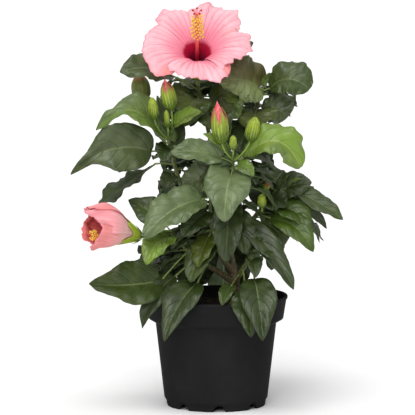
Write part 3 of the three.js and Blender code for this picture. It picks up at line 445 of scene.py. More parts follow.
# The blooms: each petal reads [turn, reach at nine places across it, lift at its two sides, salmon and
# painted shade at its two sides and all over, curl outward, crinkle]. The salmon tint is partly the
# petals' own colour and partly painted shade where a petal lies under its neighbour, and on the side
# bloom it also paints the glow of light through petals that lie in shade. The profile reads [share,
# radius, height], the column [radius, height], the anthers (lowest, highest, count, reach), the stigma
# (height, spread, pad) and the calyx's lobes (turn, reach).
OPEN_BLOOM = {
    "name": "open_bloom", "throat": (-17, -20, 325), "axis": (0, -0.643, 0.766), "shoot": "leader",
    "profile": [(0, 4.6, -30), (0.2, 6.4, -16), (0.42, 13, -3), (0.6, 25, 5), (0.8, 39, 8.5), (1, 51, 7)],
    "spread": 47, "full_reach": 51,
    "petals": [
        [-166, (44, 46, 48, 50, 50.5, 51, 51.5, 51, 46), (1.4, -1.4), (0, 1, 0), 0, 0.35],
        [106, (50, 57, 51, 48.5, 49.5, 49, 56, 47, 44), (-1.0, -1.4), (0, 0, 0), 0, 1.0],
        [46, (44, 43.5, 43, 47.5, 54, 57, 53.5, 52, 48), (-1.6, 1.0), (0, 0, 0), 0, 1.0],
        [-12, (42, 42.5, 41.5, 43.8, 48.8, 48.5, 48, 42.5, 38), (1.8, 1.6), (0, 0.3, 0), 0, 0.9],
        [-84, (44, 44, 43.5, 45.3, 46.2, 50.3, 49.5, 45.5, 41), (1.4, -1.8), (0, 1, 0), 0, 0.8],
    ],
    "ruffle": 1.6, "frill": 2.3, "pleat": 0.75,
    "column": [(4.4, -30.5), (2.3, -27), (1.8, -10), (1.45, 12), (1.4, 30), (1.3, 41)],
    "column_from": (-17, -20, 325), "column_axis": (0, -0.643, 0.766),
    "anthers": (13, 39, 92, 4.3), "stigma": (46, 3.9, 1.1), "lobes": (0, 1.0),
}
SIDE_BLOOM = {
    "name": "side_bloom", "throat": (-80, -52, 163.5), "axis": (-0.80, -0.50, 0.30), "shoot": "low_left",
    "profile": [(0, 4.4, -9), (0.16, 8.2, 0), (0.3, 12.8, 8), (0.46, 17.4, 17), (0.65, 19.4, 28),
                (0.82, 18.0, 38), (1, 14.5, 48), (1.1, 12.2, 52.6)],
    "spread": 52, "full_reach": 48,
    "petals": [
        [100, (42, 44, 45, 45.5, 45.5, 45, 44, 42, 39), (-2.2, -0.6), (1.0, 1.0, 0.6), -6, 0.15],
        [38, (34, 37.5, 41, 43.5, 46, 48.5, 50, 48.5, 45), (-1.2, 1.2), (0.0, 0.3, 0.35), -7.5, 0.3],
        [-50, (30, 34, 37.5, 39, 39, 39, 39, 39, 38), (-1.0, 1.0), (0.5, 0.1, 0.7), 3, 0.3],
        [-125, (34, 36, 37, 37, 36, 35, 33, 31, 28), (-1.0, 1.0), (0.4, 0.7, 0.8), -1, 0.3],
        [170, (30, 33, 35, 37, 38, 38, 38, 37, 36), (1.0, 1.0), (0.4, 0.6, 0.9), -6, 0.3],
    ],
    "ruffle": 0.0, "frill": 0.5, "pleat": 0.35,
    "column": [(1.7, 0.1), (1.5, 11), (1.3, 21), (1.1, 43)],
    "column_from": (-72.8, -47.5, 160.8), "column_axis": (-0.885, -0.461, 0.05),
    "anthers": (36.5, 41.5, 44, 3.4), "stigma": (44.5, 1.0, 0.5), "lobes": (-40, 1.2),
}
PETAL_PLACES = np.linspace(-1, 1, 9)
PETAL_THICKNESS = 0.5
PETAL_ROWS, PETAL_COLUMNS = 46, 61
PETAL_THINS = 0.6
PETAL_VEINS = 11
PETAL_FINE_VEINS = 47
PETAL_GLOW = (0.003, 0.0014, 0.0014)
FULL_TURN = 6.28

# A petal's margin and folds, where a pair reads (depth, how often)
PETAL_NOTCHES = ((0.022, 17), (0.016, 31), (0.008, 57))
PETAL_FRILLS = ((1.0, 9), (0.6, 19))
PETAL_RUFFLES = 9
PETAL_BILLOW = (1.3, 2.6)
PETAL_EDGE_CURL = 2.2

# The calyx, its bracts as (radius of their ring, length, width, spread, seed), its stalk and the column
SEPALS = 5
SEPAL_RIBS = 15
CALYX_DEPTH = 9.0
CALYX_UNDER = 1.2
CALYX_FOOT = 7
CALYX_FOOT_RADIUS = 1.2
CALYX_PROUD = 1.9
CALYX_LOBE_FLARE = 0.9
CALYX_SEAM = 0.12
CALYX_WALL = 0.55
CALYX_RINGS, CALYX_SIDES = 18, 60
CALYX_BRACTS_UNDER = 6.2
CALYX_BRACTS = (3.2, 11, 1.9, 0.5, 3)
CALYX_SEAT = 5
FLOWER_STALK_GUIDE = 0.3
FLOWER_STALK_RINGS, FLOWER_STALK_SIDES = 24, 10
COLUMN_RINGS, COLUMN_SIDES = 40, 14
FILAMENT_RADIUS = 0.2
ANTHER_SIZE = (1.15, 0.95, 0.9)
STYLES = 5
STYLE_RADIUS = 0.38

# Bracts, whose reach reads (least, spread) and whose crest (share up, share out), and a bud's stalk
BRACTS = 8
BRACT_THICKNESS = 0.35
BRACT_ROWS, BRACT_COLUMNS = 9, 5
BRACT_TURN_SPREAD = 20
BRACT_ROOT, BRACT_OUT = 0.6, 0.4
BRACT_REACH = (0.85, 0.3)
BRACT_CREST = (0.35, 0.7)
BRACT_TIP_WIDTH = 0.12
BUD_STALK_RADIUS = 0.85
BUD_STALK_BEND = 0.4
BUD_STALK_RINGS, BUD_STALK_SIDES = 14, 8
BUD_SEAT = 0.08

# A bud's radius along it, as shares of its length and of its greatest radius; how far its lobes are
# turned; and how far a bud has opened when its petals begin to show
BUD_RINGS = BUD_SIDES = 30
BUD_SWELL = ([0, 0.12, 0.38, 0.65, 0.88, 1], [0.34, 0.78, 1, 0.84, 0.34, 0.04])
LOBE_TURN = -20
BUD_SHOWS_PETALS = 0.2

# An open bud: how far its shell ends short of its tip and how much less it does so at the lobes, the
# shell's wall, how far the sepals and their ribs stand out, how much of the shell the furled petals
# fill, how many folds they have and how deep, and how far they turn from foot to tip
SHELL_SHORT, SHELL_LOBE = 0.46, 0.3
SHELL_WALL = 0.4
SEPAL_PROUD, SEPAL_RIB_PROUD = 0.045, 0.03
FURL_FILLS = 0.93
FURL_FOLDS, FURL_FOLD_DEPTH = 3, 0.1
FURL_TURN = 150

# Seeds of the draws
CRUMB_SEED, CRUMB_SHAPE_SEED = 4, 5
POLLEN_SEED, PAD_SEED = 8, 9
ANTHER_SEED = 17
TONE_SEED = 77
PETAL_SEED = 300
BLADE_SEED = 9000

# A leaf's finishes: the tones' upper sides in this order, then the underside and the rib
TONES = "dmsolybgc"
UNDER = len(TONES)
RIB = UNDER + 1
YOUNG_TONES = "ly"

# The order of finishes on stems, on buds and calyxes, and on a column
LEAF_STALK = 1
SEPAL, FURL, BRACT, STALK = 0, 1, 2, 3
FILAMENT, POLLEN, STYLE, STIGMA = 1, 2, 3, 4


# Repeatable draws, curves and directions


def seeded(seed):
    """Repeatable draws between 0 and 1, by the same mixing of a 32-bit state as the solids use."""
    full = 0xFFFFFFFF
    stride = 0x6D2B79F5
    state = seed & full

    def draw():
        nonlocal state
        state = (state + stride) & full
        t = ((state ^ (state >> 15)) * (state | 1)) & full
        t ^= (t + (((t ^ (t >> 7)) * (t | 61)) & full)) & full
        return ((t ^ (t >> 14)) & full) / (full + 1)

    return draw


def unit(vectors):
    """Each vector divided by its length."""
    return vectors / np.linalg.norm(vectors, axis=-1, keepdims=True)


def squared(vectors, along):
    """The unit part of each vector that stands square to a unit direction: v - (v.a) a, over its length."""
    return unit(vectors - np.sum(vectors * along, axis=-1, keepdims=True) * along)


def smooth_through(knots, values, at):
    """Cubic Hermite line through (knot, value) pairs, each slope the mean of its neighbours' chords."""
    knots = np.asarray(knots, float)
    values = np.asarray(values, float)
    slopes = np.gradient(values, knots)
    low = np.clip(np.searchsorted(knots, at, side="right") - 1, 0, len(knots) - 2)
    span = knots[low + 1] - knots[low]
    t = np.clip((at - knots[low]) / span, 0, 1)
    start = (2 * t**3 - 3 * t**2 + 1) * values[low] + (t**3 - 2 * t**2 + t) * span * slopes[low]
    end = (3 * t**2 - 2 * t**3) * values[low + 1] + (t**3 - t**2) * span * slopes[low + 1]
    return start + end


def ease(low, high, values):
    """Smooth step from 0 at low to 1 at high: 3t^2 - 2t^3 with t the clamped share of the way."""
    t = np.clip((values - low) / (high - low), 0, 1)
    return t * t * (3 - 2 * t)


def bulge(values, middle, width):
    """A bell of height 1 round a middle: e to the power of minus the squared share of the width."""
    return np.exp(-(((values - middle) / width) ** 2))


class Route:
    """A centripetal Catmull-Rom line through points, run evenly from knot to knot as t goes 0 to 1."""

    def __init__(self, points):
        self.points = np.array(points, float)
        first = 2 * self.points[0] - self.points[1]
        last = 2 * self.points[-1] - self.points[-2]
        self.padded = np.vstack([first, self.points, last])

    def at(self, t):
        """Hermite cubic of a span, its end slopes from the square roots of the chords' lengths."""
        spans = len(self.points) - 1
        place = np.atleast_1d(t) * spans
        low = np.clip(np.floor(place).astype(int), 0, spans - 1)
        w = (place - low)[:, None]
        p0, p1, p2, p3 = (self.padded[low + k] for k in range(4))
        d0, d1, d2 = (np.sum((b - a) ** 2, axis=1)[:, None] ** 0.25
                      for a, b in ((p0, p1), (p1, p2), (p2, p3)))
        s1 = ((p1 - p0) / d0 - (p2 - p0) / (d0 + d1) + (p2 - p1) / d1) * d1
        s2 = ((p2 - p1) / d1 - (p3 - p1) / (d1 + d2) + (p3 - p2) / d2) * d1
        return p1 + s1 * w + (3 * (p2 - p1) - 2 * s1 - s2) * w**2 + (2 * (p1 - p2) + s1 + s2) * w**3

    def along(self, t):
        """Unit direction of travel, from two points a ten-thousandth either side of t."""
        t = np.atleast_1d(t)
        return unit(self.at(np.minimum(t + 1e-4, 1)) - self.at(np.maximum(t - 1e-4, 0)))


class Bend:
    """A quadratic Bezier line: (1-t)^2 a + 2t(1-t) b + t^2 c."""

    def __init__(self, a, b, c):
        self.a, self.b, self.c = (np.asarray(p, float) for p in (a, b, c))

    def at(self, t):
        t = np.atleast_1d(t)[:, None]
        return (1 - t) ** 2 * self.a + 2 * t * (1 - t) * self.b + t**2 * self.c

    def along(self, t):
        t = np.atleast_1d(t)[:, None]
        return unit((1 - t) * (self.b - self.a) + t * (self.c - self.b))


class Cubic:
    """A cubic Bezier line through its two ends, drawn by its two guides."""

    def __init__(self, *guides):
        self.guides = [np.asarray(g, float) for g in guides]

    def at(self, t):
        t = np.atleast_1d(t)[:, None]
        a, b, c, d = self.guides
        return (1 - t) ** 3 * a + 3 * t * (1 - t) ** 2 * b + 3 * t**2 * (1 - t) * c + t**3 * d

    def along(self, t):
        t = np.atleast_1d(t)[:, None]
        a, b, c, d = self.guides
        return unit((1 - t) ** 2 * (b - a) + 2 * t * (1 - t) * (c - b) + t**2 * (d - c))


# Closed skins as arrays of points and faces


class Skin:
    """Points (n,3), faces (m,4) that repeat a corner where three-sided, and values for each point."""

    def __init__(self, points, faces, finish=0, u=None, v=None, tint=None):
        count = len(points)
        self.points = points
        self.faces = faces
        self.finish = np.full(len(faces), finish) if np.isscalar(finish) else finish
        self.u = np.zeros(count) if u is None else u
        self.v = np.zeros(count) if v is None else v
        self.tint = np.zeros(count) if tint is None else tint
        if self.volume() < 0:
            self.faces = self.faces[:, ::-1]

    def volume(self):
        """Six times the signed volume inside the faces: the sum of a.(b x c) over their triangles."""
        a, b, c, d = (self.points[self.faces[:, k]] for k in range(4))
        return float(np.sum(a * np.cross(b, c)) + np.sum(a * np.cross(c, d)))


def turn_of(sides):
    """The angles of even steps round a full turn, in radians."""
    return 2 * np.pi * np.arange(sides) / sides


def grid_faces(rows, columns, start=0, closed=False):
    """Faces of a grid of points counted row by row; a closed one joins its last column to its first."""
    span = columns if closed else columns - 1
    i, j = np.meshgrid(np.arange(rows - 1), np.arange(span), indexing="ij")
    k = (j + 1) % columns
    corners = [i * columns + j, (i + 1) * columns + j, (i + 1) * columns + k, i * columns + k]
    return start + np.stack(corners, axis=-1).reshape(-1, 4)


def round_skin(rings, finish=0):
    """Closes a grid (stations, sides, 3) into a body: rows joined round, each end drawn to its centre."""
    stations, sides = rings.shape[:2]
    points = np.vstack([rings.reshape(-1, 3), rings[0].mean(0), rings[-1].mean(0)])
    side = np.arange(sides)
    following = (side + 1) % sides
    first, last = stations * sides, stations * sides + 1
    foot = np.stack([np.full(sides, first), side, following, following], axis=-1)
    head = np.stack([np.full(sides, last), following, side, side], axis=-1)
    head[:, 1:] += (stations - 1) * sides
    along = np.append(np.repeat(np.linspace(0, 1, stations), sides), [0, 1])
    around = np.append(np.tile(side / sides, stations), [0, 0])
    faces = np.vstack([grid_faces(stations, sides, closed=True), foot, head])
    return Skin(points, faces, finish, along, around)


def sheet_skin(upper, lower, u, v, finishes=(0, 0), tint=None):
    """Joins two grids (rows, columns, 3) of the same size into a thin closed sheet round their edge."""
    rows, columns = upper.shape[:2]
    count = rows * columns
    top = grid_faces(rows, columns)
    bottom = grid_faces(rows, columns, count)[:, ::-1]
    numbers = np.arange(count).reshape(rows, columns)
    edge = np.concatenate([numbers[:-1, 0], numbers[-1, :-1], numbers[:0:-1, -1], numbers[0, :0:-1]])
    following = np.roll(edge, -1)
    rim = np.stack([edge, edge + count, following + count, following], axis=-1)
    points = np.vstack([upper.reshape(-1, 3), lower.reshape(-1, 3)])
    finish = np.concatenate([np.full(len(top), finishes[0]), np.full(len(bottom) + len(rim), finishes[1])])
    doubled = (np.tile(values.reshape(-1), 2) if values is not None else None for values in (u, v, tint))
    return Skin(points, np.vstack([top, bottom, rim]), finish, *doubled)


def shell_skin(outer, inner, along, finish):
    """An open cup's skin, closed on itself both ways: out along one wall and back along the other."""
    rings = np.concatenate([outer, inner[::-1]])
    stations, sides = rings.shape[:2]
    faces = grid_faces(stations + 1, sides, closed=True) % (stations * sides)
    places = np.repeat(np.concatenate([along, along[::-1]]), sides)
    return Skin(rings.reshape(-1, 3), faces, finish, places, np.tile(np.arange(sides) / sides, stations))


def thick_skin(middle, thick, u, v, finishes=(0, 0), tint=None):
    """A thin closed sheet round a grid of middle points, from its thickness as vectors; v runs -1 to 1."""
    return sheet_skin(middle + thick / 2, middle - thick / 2, u, (v + 1) / 2, finishes, tint)


def spokes(angle, side, other):
    """Directions round each place on a line: cos a S + sin a N."""
    return np.cos(angle)[None, :, None] * side[:, None] + np.sin(angle)[None, :, None] * other[:, None]


def tube_rings(line, places, radii, sides, ridges=None):
    """Rings round a line: C(t) + r(t,a) (cos a S + sin a N), with S square to the travel and level."""
    centres, travel = line.at(places), line.along(places)
    chord = unit(line.at(np.array([1.0])) - line.at(np.array([0.0])))[0]
    spare = np.eye(3)[np.argmin(np.abs(chord))]
    side = squared(np.broadcast_to(np.cross(chord, spare), travel.shape), travel)
    angle = turn_of(sides)
    radius = np.broadcast_to(np.asarray(radii, float).reshape(-1, 1), (len(places), sides))
    if ridges is not None:
        radius = radius * (1 + ridges(places[:, None], angle[None, :]))
    return centres[:, None] + radius[..., None] * spokes(angle, side, np.cross(travel, side))


def tube(line, places, radii, sides, finish=0, ridges=None):
    """A tapering round limb with both its ends closed."""
    return round_skin(tube_rings(line, places, radii, sides, ridges), finish)


def turned(frame_of, radii, heights, sides):
    """A body turned round an axis: rings of radius r(s) at height h(s)."""
    degrees = 360 * np.arange(sides) / sides
    return round_skin(place(frame_of, radii[:, None], degrees[None, :], heights[:, None]))


def axis_frame(origin, axis):
    """Origin, axis and two directions square to it, the first of them level."""
    axis = unit(np.asarray(axis, float))
    across = unit(np.cross(UP, axis)) if abs(axis[2]) < 0.999 else np.array([1.0, 0.0, 0.0])
    return np.asarray(origin, float), axis, across, np.cross(axis, across)


def place(frame_of, radius, degrees, height):
    """Points at a radius, a turn and a height round an axis."""
    origin, axis, across, other = frame_of
    turn = np.radians(degrees)
    radius, turn, height = np.broadcast_arrays(radius, turn, height)
    return (origin + height[..., None] * axis + (radius * np.cos(turn))[..., None] * across
            + (radius * np.sin(turn))[..., None] * other)


def in_scene(name, data):
    """A new object in the scene for a mesh, a camera or a light."""
    thing = bpy.data.objects.new(name, data)
    bpy.context.scene.collection.objects.link(thing)
    return thing


def make_piece(name, skins, finishes, slot, *nodes):
    """Joins skins into one smooth piece in metres, on the root body, standing for its nodes."""

    def joined(part):
        return np.concatenate([getattr(skin, part) for skin in skins])

    starts = np.cumsum([0] + [len(s.points) for s in skins[:-1]])
    faces = np.vstack([s.faces + start for s, start in zip(skins, starts)])
    corners = [list(dict.fromkeys(face)) for face in faces.tolist()]
    mesh = bpy.data.meshes.new(name)
    mesh.from_pydata((joined("points") * MM).tolist(), [], corners)
    mesh.polygons.foreach_set("material_index", joined("finish").astype(np.int32))
    mesh.polygons.foreach_set("use_smooth", np.ones(len(corners), bool))
    loops = np.zeros(len(mesh.loops), np.int32)
    mesh.loops.foreach_get("vertex_index", loops)
    both = np.stack([joined("u"), joined("v")], axis=-1).astype(np.float32)
    mesh.uv_layers.new(name="surface").data.foreach_set("uv", both[loops].ravel())
    tint = mesh.attributes.new("tint", "FLOAT", "POINT")
    tint.data.foreach_set("value", joined("tint").astype(np.float32))
    mesh.update()
    for finish in finishes:
        mesh.materials.append(finish)
    piece = in_scene(name, mesh)
    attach(piece, "root")
    if nodes:
        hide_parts(*nodes)


# Finishes: shader values as Python expressions


def operator(operation, reflected=False):
    """A Strand's method that adds one Math node; where it is reflected, its two values change places."""

    def method(self, *other):
        values = (*other, self) if reflected else (self, *other)
        return self.finish.node("ShaderNodeMath", {"operation": operation}, dict(enumerate(values)))

    return method


class Strand:
    """A number or colour running through a finish, worked on with Python's operators."""

    def __init__(self, finish, socket):
        self.finish = finish
        self.socket = socket

    __add__, __radd__ = operator("ADD"), operator("ADD", True)
    __sub__, __rsub__ = operator("SUBTRACT"), operator("SUBTRACT", True)
    __mul__, __rmul__ = operator("MULTIPLY"), operator("MULTIPLY", True)
    __pow__, __abs__ = operator("POWER"), operator("ABSOLUTE")
    most, fraction = operator("MAXIMUM"), operator("FRACT")

    def ramp(self, low, high):
        """Smooth step from 0 at low to 1 at high, where low may be the larger."""
        settings = {"interpolation_type": "SMOOTHSTEP", "clamp": True}
        values = {"Value": self, "From Min": low, "From Max": high}
        return self.finish.node("ShaderNodeMapRange", settings, values, "Result")

    def lines(self, start):
        """Lines where the value is a whole number: 2 |fraction - 1/2|, ramped from a start to 1."""
        return (abs(self.fraction() - 0.5) * 2).ramp(start, 1.0)


class Finish:
    """A material whose Principled shader takes plain values on its own sockets."""

    def __init__(self, name, **values):
        self.material = bpy.data.materials.new(name)
        self.material.use_nodes = True
        self.tree = self.material.node_tree
        self.shader = self.tree.nodes["Principled BSDF"]
        for socket, value in values.items():
            self.set(socket.replace("_", " "), value)

    def node(self, kind, settings=None, values=None, out=0):
        """Adds a node: its settings first, then its sockets' values or links. Gives one output."""
        made = self.tree.nodes.new(kind)
        for name, value in (settings or {}).items():
            setattr(made, name, value)
        for socket, value in (values or {}).items():
            self.join(value, made.inputs[socket])
        return Strand(self, made.outputs[out])

    def join(self, value, socket):
        """Links a strand to a socket, or sets the socket to a plain value."""
        if isinstance(value, Strand):
            self.tree.links.new(value.socket, socket)
        else:
            socket.default_value = value

    def set(self, socket, value):
        """Links or sets one of the shader's own sockets."""
        self.join(value, self.shader.inputs[socket])

    def finished(self, shade, rough, relief, strength, depth):
        """The material with its colour, its roughness and a relief of a full depth in millimetres."""
        self.set("Base Color", shade)
        self.set("Roughness", rough)
        values = {"Height": relief, "Strength": strength, "Distance": depth * MM}
        self.set("Normal", self.node("ShaderNodeBump", None, values))
        return self.material

    def mix(self, factor, low, high):
        """Colour from low to high as the factor goes 0 to 1."""
        settings = {"data_type": "RGBA", "clamp_factor": True}
        return self.node("ShaderNodeMix", settings, {0: factor, 6: low, 7: high}, 2)

    def place(self):
        """The point's own place in the piece, in metres."""
        return self.node("ShaderNodeTexCoord", out="Object")

    def noise(self, size, detail=3.0, rough=0.5, upright=None):
        """Noise whose features are about a size in millimetres across. Upright is its scale up the
        piece, and below 1 it draws the features out that way."""
        where = self.place()
        if upright:
            where = self.node("ShaderNodeMapping", None, {"Vector": where, "Scale": (1, 1, upright)})
        values = {"Vector": where, "Scale": 1 / (size * MM), "Detail": detail, "Roughness": rough}
        return self.node("ShaderNodeTexNoise", None, values)

    def cells(self, size, feature="F1"):
        """Distance to the nearest of scattered points about a size in millimetres apart."""
        values = {"Vector": self.place(), "Scale": 1 / (size * MM)}
        return self.node("ShaderNodeTexVoronoi", {"feature": feature}, values)

    def surface(self):
        """The piece's own surface map: u along it and v across it, both 0 to 1."""
        where = self.node("ShaderNodeUVMap", {"uv_map": "surface"})
        parts = self.node("ShaderNodeSeparateXYZ", None, {0: where})
        return parts, Strand(self, parts.socket.node.outputs[1])

    def tint(self):
        """The piece's own tint: a number that its skins carry from point to point."""
        return self.node("ShaderNodeAttribute", {"attribute_name": "tint"}, out="Fac")


def colour(red, green, blue):
    """An opaque colour from its shares of red, green and blue light."""
    return (red, green, blue, 1.0)


def shaded(tone, red, green, blue):
    """A colour with each of its shares of light lessened."""
    return colour(tone[0] * red, tone[1] * green, tone[2] * blue)


def moulded_plastic():
    """Black moulded plastic: flow clouds, fine grain and faint upright scuffs and dust."""
    black, worn = colour(0.0150, 0.0150, 0.0154), colour(0.0190, 0.0190, 0.0195)
    scuffed, dusty = colour(0.030, 0.030, 0.030), colour(0.045, 0.042, 0.036)
    f = Finish("moulded_black_plastic", Specular_IOR_Level=0.04, IOR=1.3)
    clouds = f.noise(34, 3, 0.55)
    scuffs = f.noise(2.2, 4, 0.7, upright=0.16).ramp(0.56, 0.78)
    dust = f.noise(9, 5, 0.7).ramp(0.55, 0.8)
    shade = f.mix(clouds.ramp(0.3, 0.7), black, worn)
    shade = f.mix(scuffs * 0.14, shade, scuffed)
    shade = f.mix(dust * 0.10, shade, dusty)
    rough = 0.6 + clouds * 0.14 + scuffs * 0.1
    return f.finished(shade, rough, f.noise(0.7, 2, 0.5) + clouds * 2, 0.25, 0.06)


def peat(name, dark, light):
    """Moist peat: crumbs of two browns, dull, with a wet glint in the dark ones."""
    f = Finish(name, Specular_IOR_Level=0.3)
    grain = f.noise(1.6, 6, 0.7)
    crumbs = f.cells(2.4)
    shade = f.mix((grain * 1.3 - crumbs * 0.4).ramp(0.3, 0.75), dark, light)
    return f.finished(shade, 0.75 + grain * 0.25, grain + crumbs * 0.6, 0.9, 1.0)


def bark():
    """Grey-brown young bark: upright fissures, pale corky dots and a green cast where it is thin."""
    cracked, ridged = colour(0.06, 0.038, 0.022), colour(0.24, 0.165, 0.1)
    thin, corky = colour(0.19, 0.17, 0.11), colour(0.42, 0.36, 0.27)
    f = Finish("bark", Specular_IOR_Level=0.25)
    fissures = f.noise(1.7, 5, 0.65, upright=0.22)
    patches = f.noise(11, 3, 0.6)
    dots = f.cells(2.6).ramp(0.2, 0.1)
    shade = f.mix(fissures.ramp(0.35, 0.65), cracked, ridged)
    shade = f.mix(patches.ramp(0.45, 0.7) * 0.5, shade, thin)
    shade = f.mix(dots * 0.6, shade, corky)
    return f.finished(shade, 0.7 + fissures * 0.25, fissures + dots * 0.8, 0.7, 0.5)


def green_wood():
    """Green-brown wood of the boughs, streaked along them and dotted with pale corky spots."""
    dark, light, corky = colour(0.07, 0.062, 0.025), colour(0.16, 0.13, 0.06), colour(0.33, 0.29, 0.17)
    f = Finish("green_wood", Specular_IOR_Level=0.35)
    streaks = f.noise(2.4, 4, 0.6, upright=0.35)
    dots = f.cells(2.2).ramp(0.16, 0.08)
    shade = f.mix(streaks.ramp(0.3, 0.7), dark, light)
    shade = f.mix(dots * 0.7, shade, corky)
    return f.finished(shade, 0.55 + streaks * 0.25, streaks + dots, 0.5, 0.3)


def green_stem(name, dark, light):
    """Fresh green skin of young stems, leaf stalks and flower stalks."""
    f = Finish(name, Specular_IOR_Level=0.45)
    streaks = f.noise(1.8, 3, 0.5)
    shade = f.mix(streaks.ramp(0.3, 0.7), dark, light)
    return f.finished(shade, 0.42 + streaks * 0.15, streaks, 0.3, 0.12)


def vein_lines(u, across):
    """Side veins: lines of constant u - slant |v|^curve, that start at the midrib or at the leaf's foot.
    The whole number that is added keeps the phase above 0."""
    phase = (u - across**VEIN_CURVE * VEIN_SLANT) * VEIN_COUNT + 8
    return phase.lines(0.86) * across.ramp(1.0, 0.8)


def leaf_map(f):
    """A leaf's v, its way from the midrib to the margin, and its side veins."""
    u, v = f.surface()
    across = abs(v * 2 - 1)
    return v, across, vein_lines(u, across)


def leaf_top(name, tone, vein, rough, painted_light_half=None):
    """Waxy upper side of a leaf: clouded green with darker patches, faint paler side veins and midrib,
    fine netting, a thin pale margin painted as a highlight, painted shade that darkens it toward the
    margin, and a skin that shines more where it is young and smooth. On a leaf of two colours the
    second one clouds over the half where v is small as painted light: a lit half on the bronze leaf,
    and on light and young leaves a saturated half beside a greyer half of painted sheen."""
    f = Finish(name, Specular_IOR_Level=0.55)
    v, across, line = leaf_map(f)
    rib = across.ramp(0.07, 0.015)
    cloud = f.noise(16, 4, 0.55)
    patch = f.noise(5, 3, 0.5)
    netting = f.cells(1.6, "DISTANCE_TO_EDGE").ramp(0.0, 0.12)
    swell = f.noise(18, 1, 0.4)
    dark = shaded(tone, 0.55, 0.62, 0.5)
    shade = f.mix(cloud.ramp(0.36, 0.64), dark, tone)
    # Painted light: one half of the blade takes the second colour, as a lit half or beside a greyer sheen
    # half
    if painted_light_half:
        shade = f.mix((v + cloud * 0.6 - 0.3).ramp(0.66, 0.36), shade, painted_light_half)
    shade = f.mix(patch.ramp(0.55, 0.8) * 0.1, shade, vein)
    # Painted shade: the blade darkens toward its margin, so its middle stands lighter as painted sheen
    shade = f.mix(across.ramp(0.3, 0.95) * 0.4, shade, dark)
    shade = f.mix((line * 0.3).most(rib * 0.5), shade, vein)
    shade = f.mix((1 - netting) * 0.1, shade, vein)
    # Painted highlight: a thin pale line along the margin
    shade = f.mix(across.ramp(0.965, 1.0) * 0.45, shade, vein)
    rough = rough + cloud * 0.14 + line * 0.08
    relief = netting * 0.2 - line * 1.6 - rib + patch * 0.5 + swell * 8
    return f.finished(shade, rough, relief, 0.85, 0.35)


def leaf_under(name, tone, vein):
    """Dull paler underside of a leaf, its veins standing proud."""
    f = Finish(name, Specular_IOR_Level=0.32)
    line = leaf_map(f)[-1]
    cloud = f.noise(9, 3, 0.5)
    shade = f.mix(cloud.ramp(0.3, 0.7), shaded(tone, 0.8, 0.8, 0.8), tone)
    shade = f.mix(line * 0.4, shade, vein)
    return f.finished(shade, 0.56 + cloud * 0.12, line + f.noise(0.9, 2, 0.5) * 0.3, 0.4, 0.25)


def petal_silk(name, throat, depth):
    """Petal: crimson throat with a streaked edge, strong pink ring, pale pink blade, fine darker veins
    that run outward and double near the margin, and a salmon blush where the tint asks for it, partly
    the petal's own colour and partly painted shade and painted glow of light through it. The depth is 1
    on the petal's inner side and 0 on its paler outer side, which has no throat."""
    pink, pale_pink, ring = colour(0.885, 0.435, 0.49), colour(0.93, 0.54, 0.59), colour(0.84, 0.15, 0.26)
    salmon_and_shade, pale_foot = colour(0.92, 0.24, 0.215), colour(0.97, 0.66, 0.60)
    deep, vein, margin = colour(0.13, 0.0, 0.020), colour(0.56, 0.085, 0.17), colour(0.76, 0.20, 0.26)
    f = Finish(name, Specular_IOR_Level=0.12, Subsurface_Weight=0.1, Subsurface_Radius=PETAL_GLOW)
    u, v = f.surface()
    wander = f.noise(5, 3, 0.5) - 0.5
    lean = v * PETAL_VEINS + wander * 0.35
    main = lean.lines(0.82)
    doubled = (lean * 2 + 0.5).lines(0.84)
    fine = (v * PETAL_FINE_VEINS + wander * 2).lines(0.6)
    branch = doubled * u.ramp(0.55, 0.8)
    reach = u + wander * 0.05 - main * 0.05 - fine * 0.02
    shade = f.mix(f.noise(17, 3, 0.5).ramp(0.3, 0.7), pink, pale_pink)
    shade = f.mix(reach.ramp(0.9, 0.42) ** 1.4 * (0.15 + 0.6 * depth), shade, ring)
    # Salmon tint: partly the petal's own colour, partly painted shade and painted glow of light through it
    shade = f.mix(f.tint(), shade, salmon_and_shade)
    shade = f.mix(u.ramp(0.75, 0.15) * (0.75 * (1 - depth)), shade, pale_foot)
    shade = f.mix(reach.ramp(0.45, 0.39) * depth, shade, throat)
    # The deepest throat turns near-black red: partly the eye's own dark crimson, partly painted shade
    shade = f.mix(reach.ramp(0.34, 0.16) * depth, shade, deep)
    veins = (main * 0.75).most(branch * 0.5).most(fine * 0.14) * u.ramp(1.12, 0.7) * (0.55 + 0.45 * depth)
    shade = f.mix(veins, shade, vein)
    shade = f.mix(u.ramp(0.95, 1.0) * 0.5, shade, margin)
    rough = 0.52 + fine * 0.12
    return f.finished(shade, rough, main * -1.2 - branch * 0.7 + fine * 0.3 + wander, 0.6, 0.3)


def column_skin():
    """Column of the bloom: crimson at its foot, then coral and orange toward the anthers."""
    crimson, coral, orange = colour(0.55, 0.012, 0.04), colour(0.88, 0.17, 0.14), colour(0.9, 0.3, 0.1)
    f = Finish("column_skin", Specular_IOR_Level=0.4)
    u = f.surface()[0]
    shade = f.mix(u.ramp(0.3, 0.62), crimson, coral)
    shade = f.mix(u.ramp(0.62, 0.95), shade, orange)
    grain = f.noise(0.8, 3, 0.5)
    return f.finished(shade, 0.42 + grain * 0.15, grain, 0.3, 0.1)


def grain_finish(name, low, high, rough):
    """Dusty or velvety grains of two shades: pollen, stigma pads and filaments."""
    f = Finish(name, Specular_IOR_Level=0.3)
    grain = f.noise(0.45, 4, 0.7)
    shade = f.mix(grain.ramp(0.35, 0.65), low, high)
    return f.finished(shade, rough + grain * 0.15, grain, 0.8, 0.12)


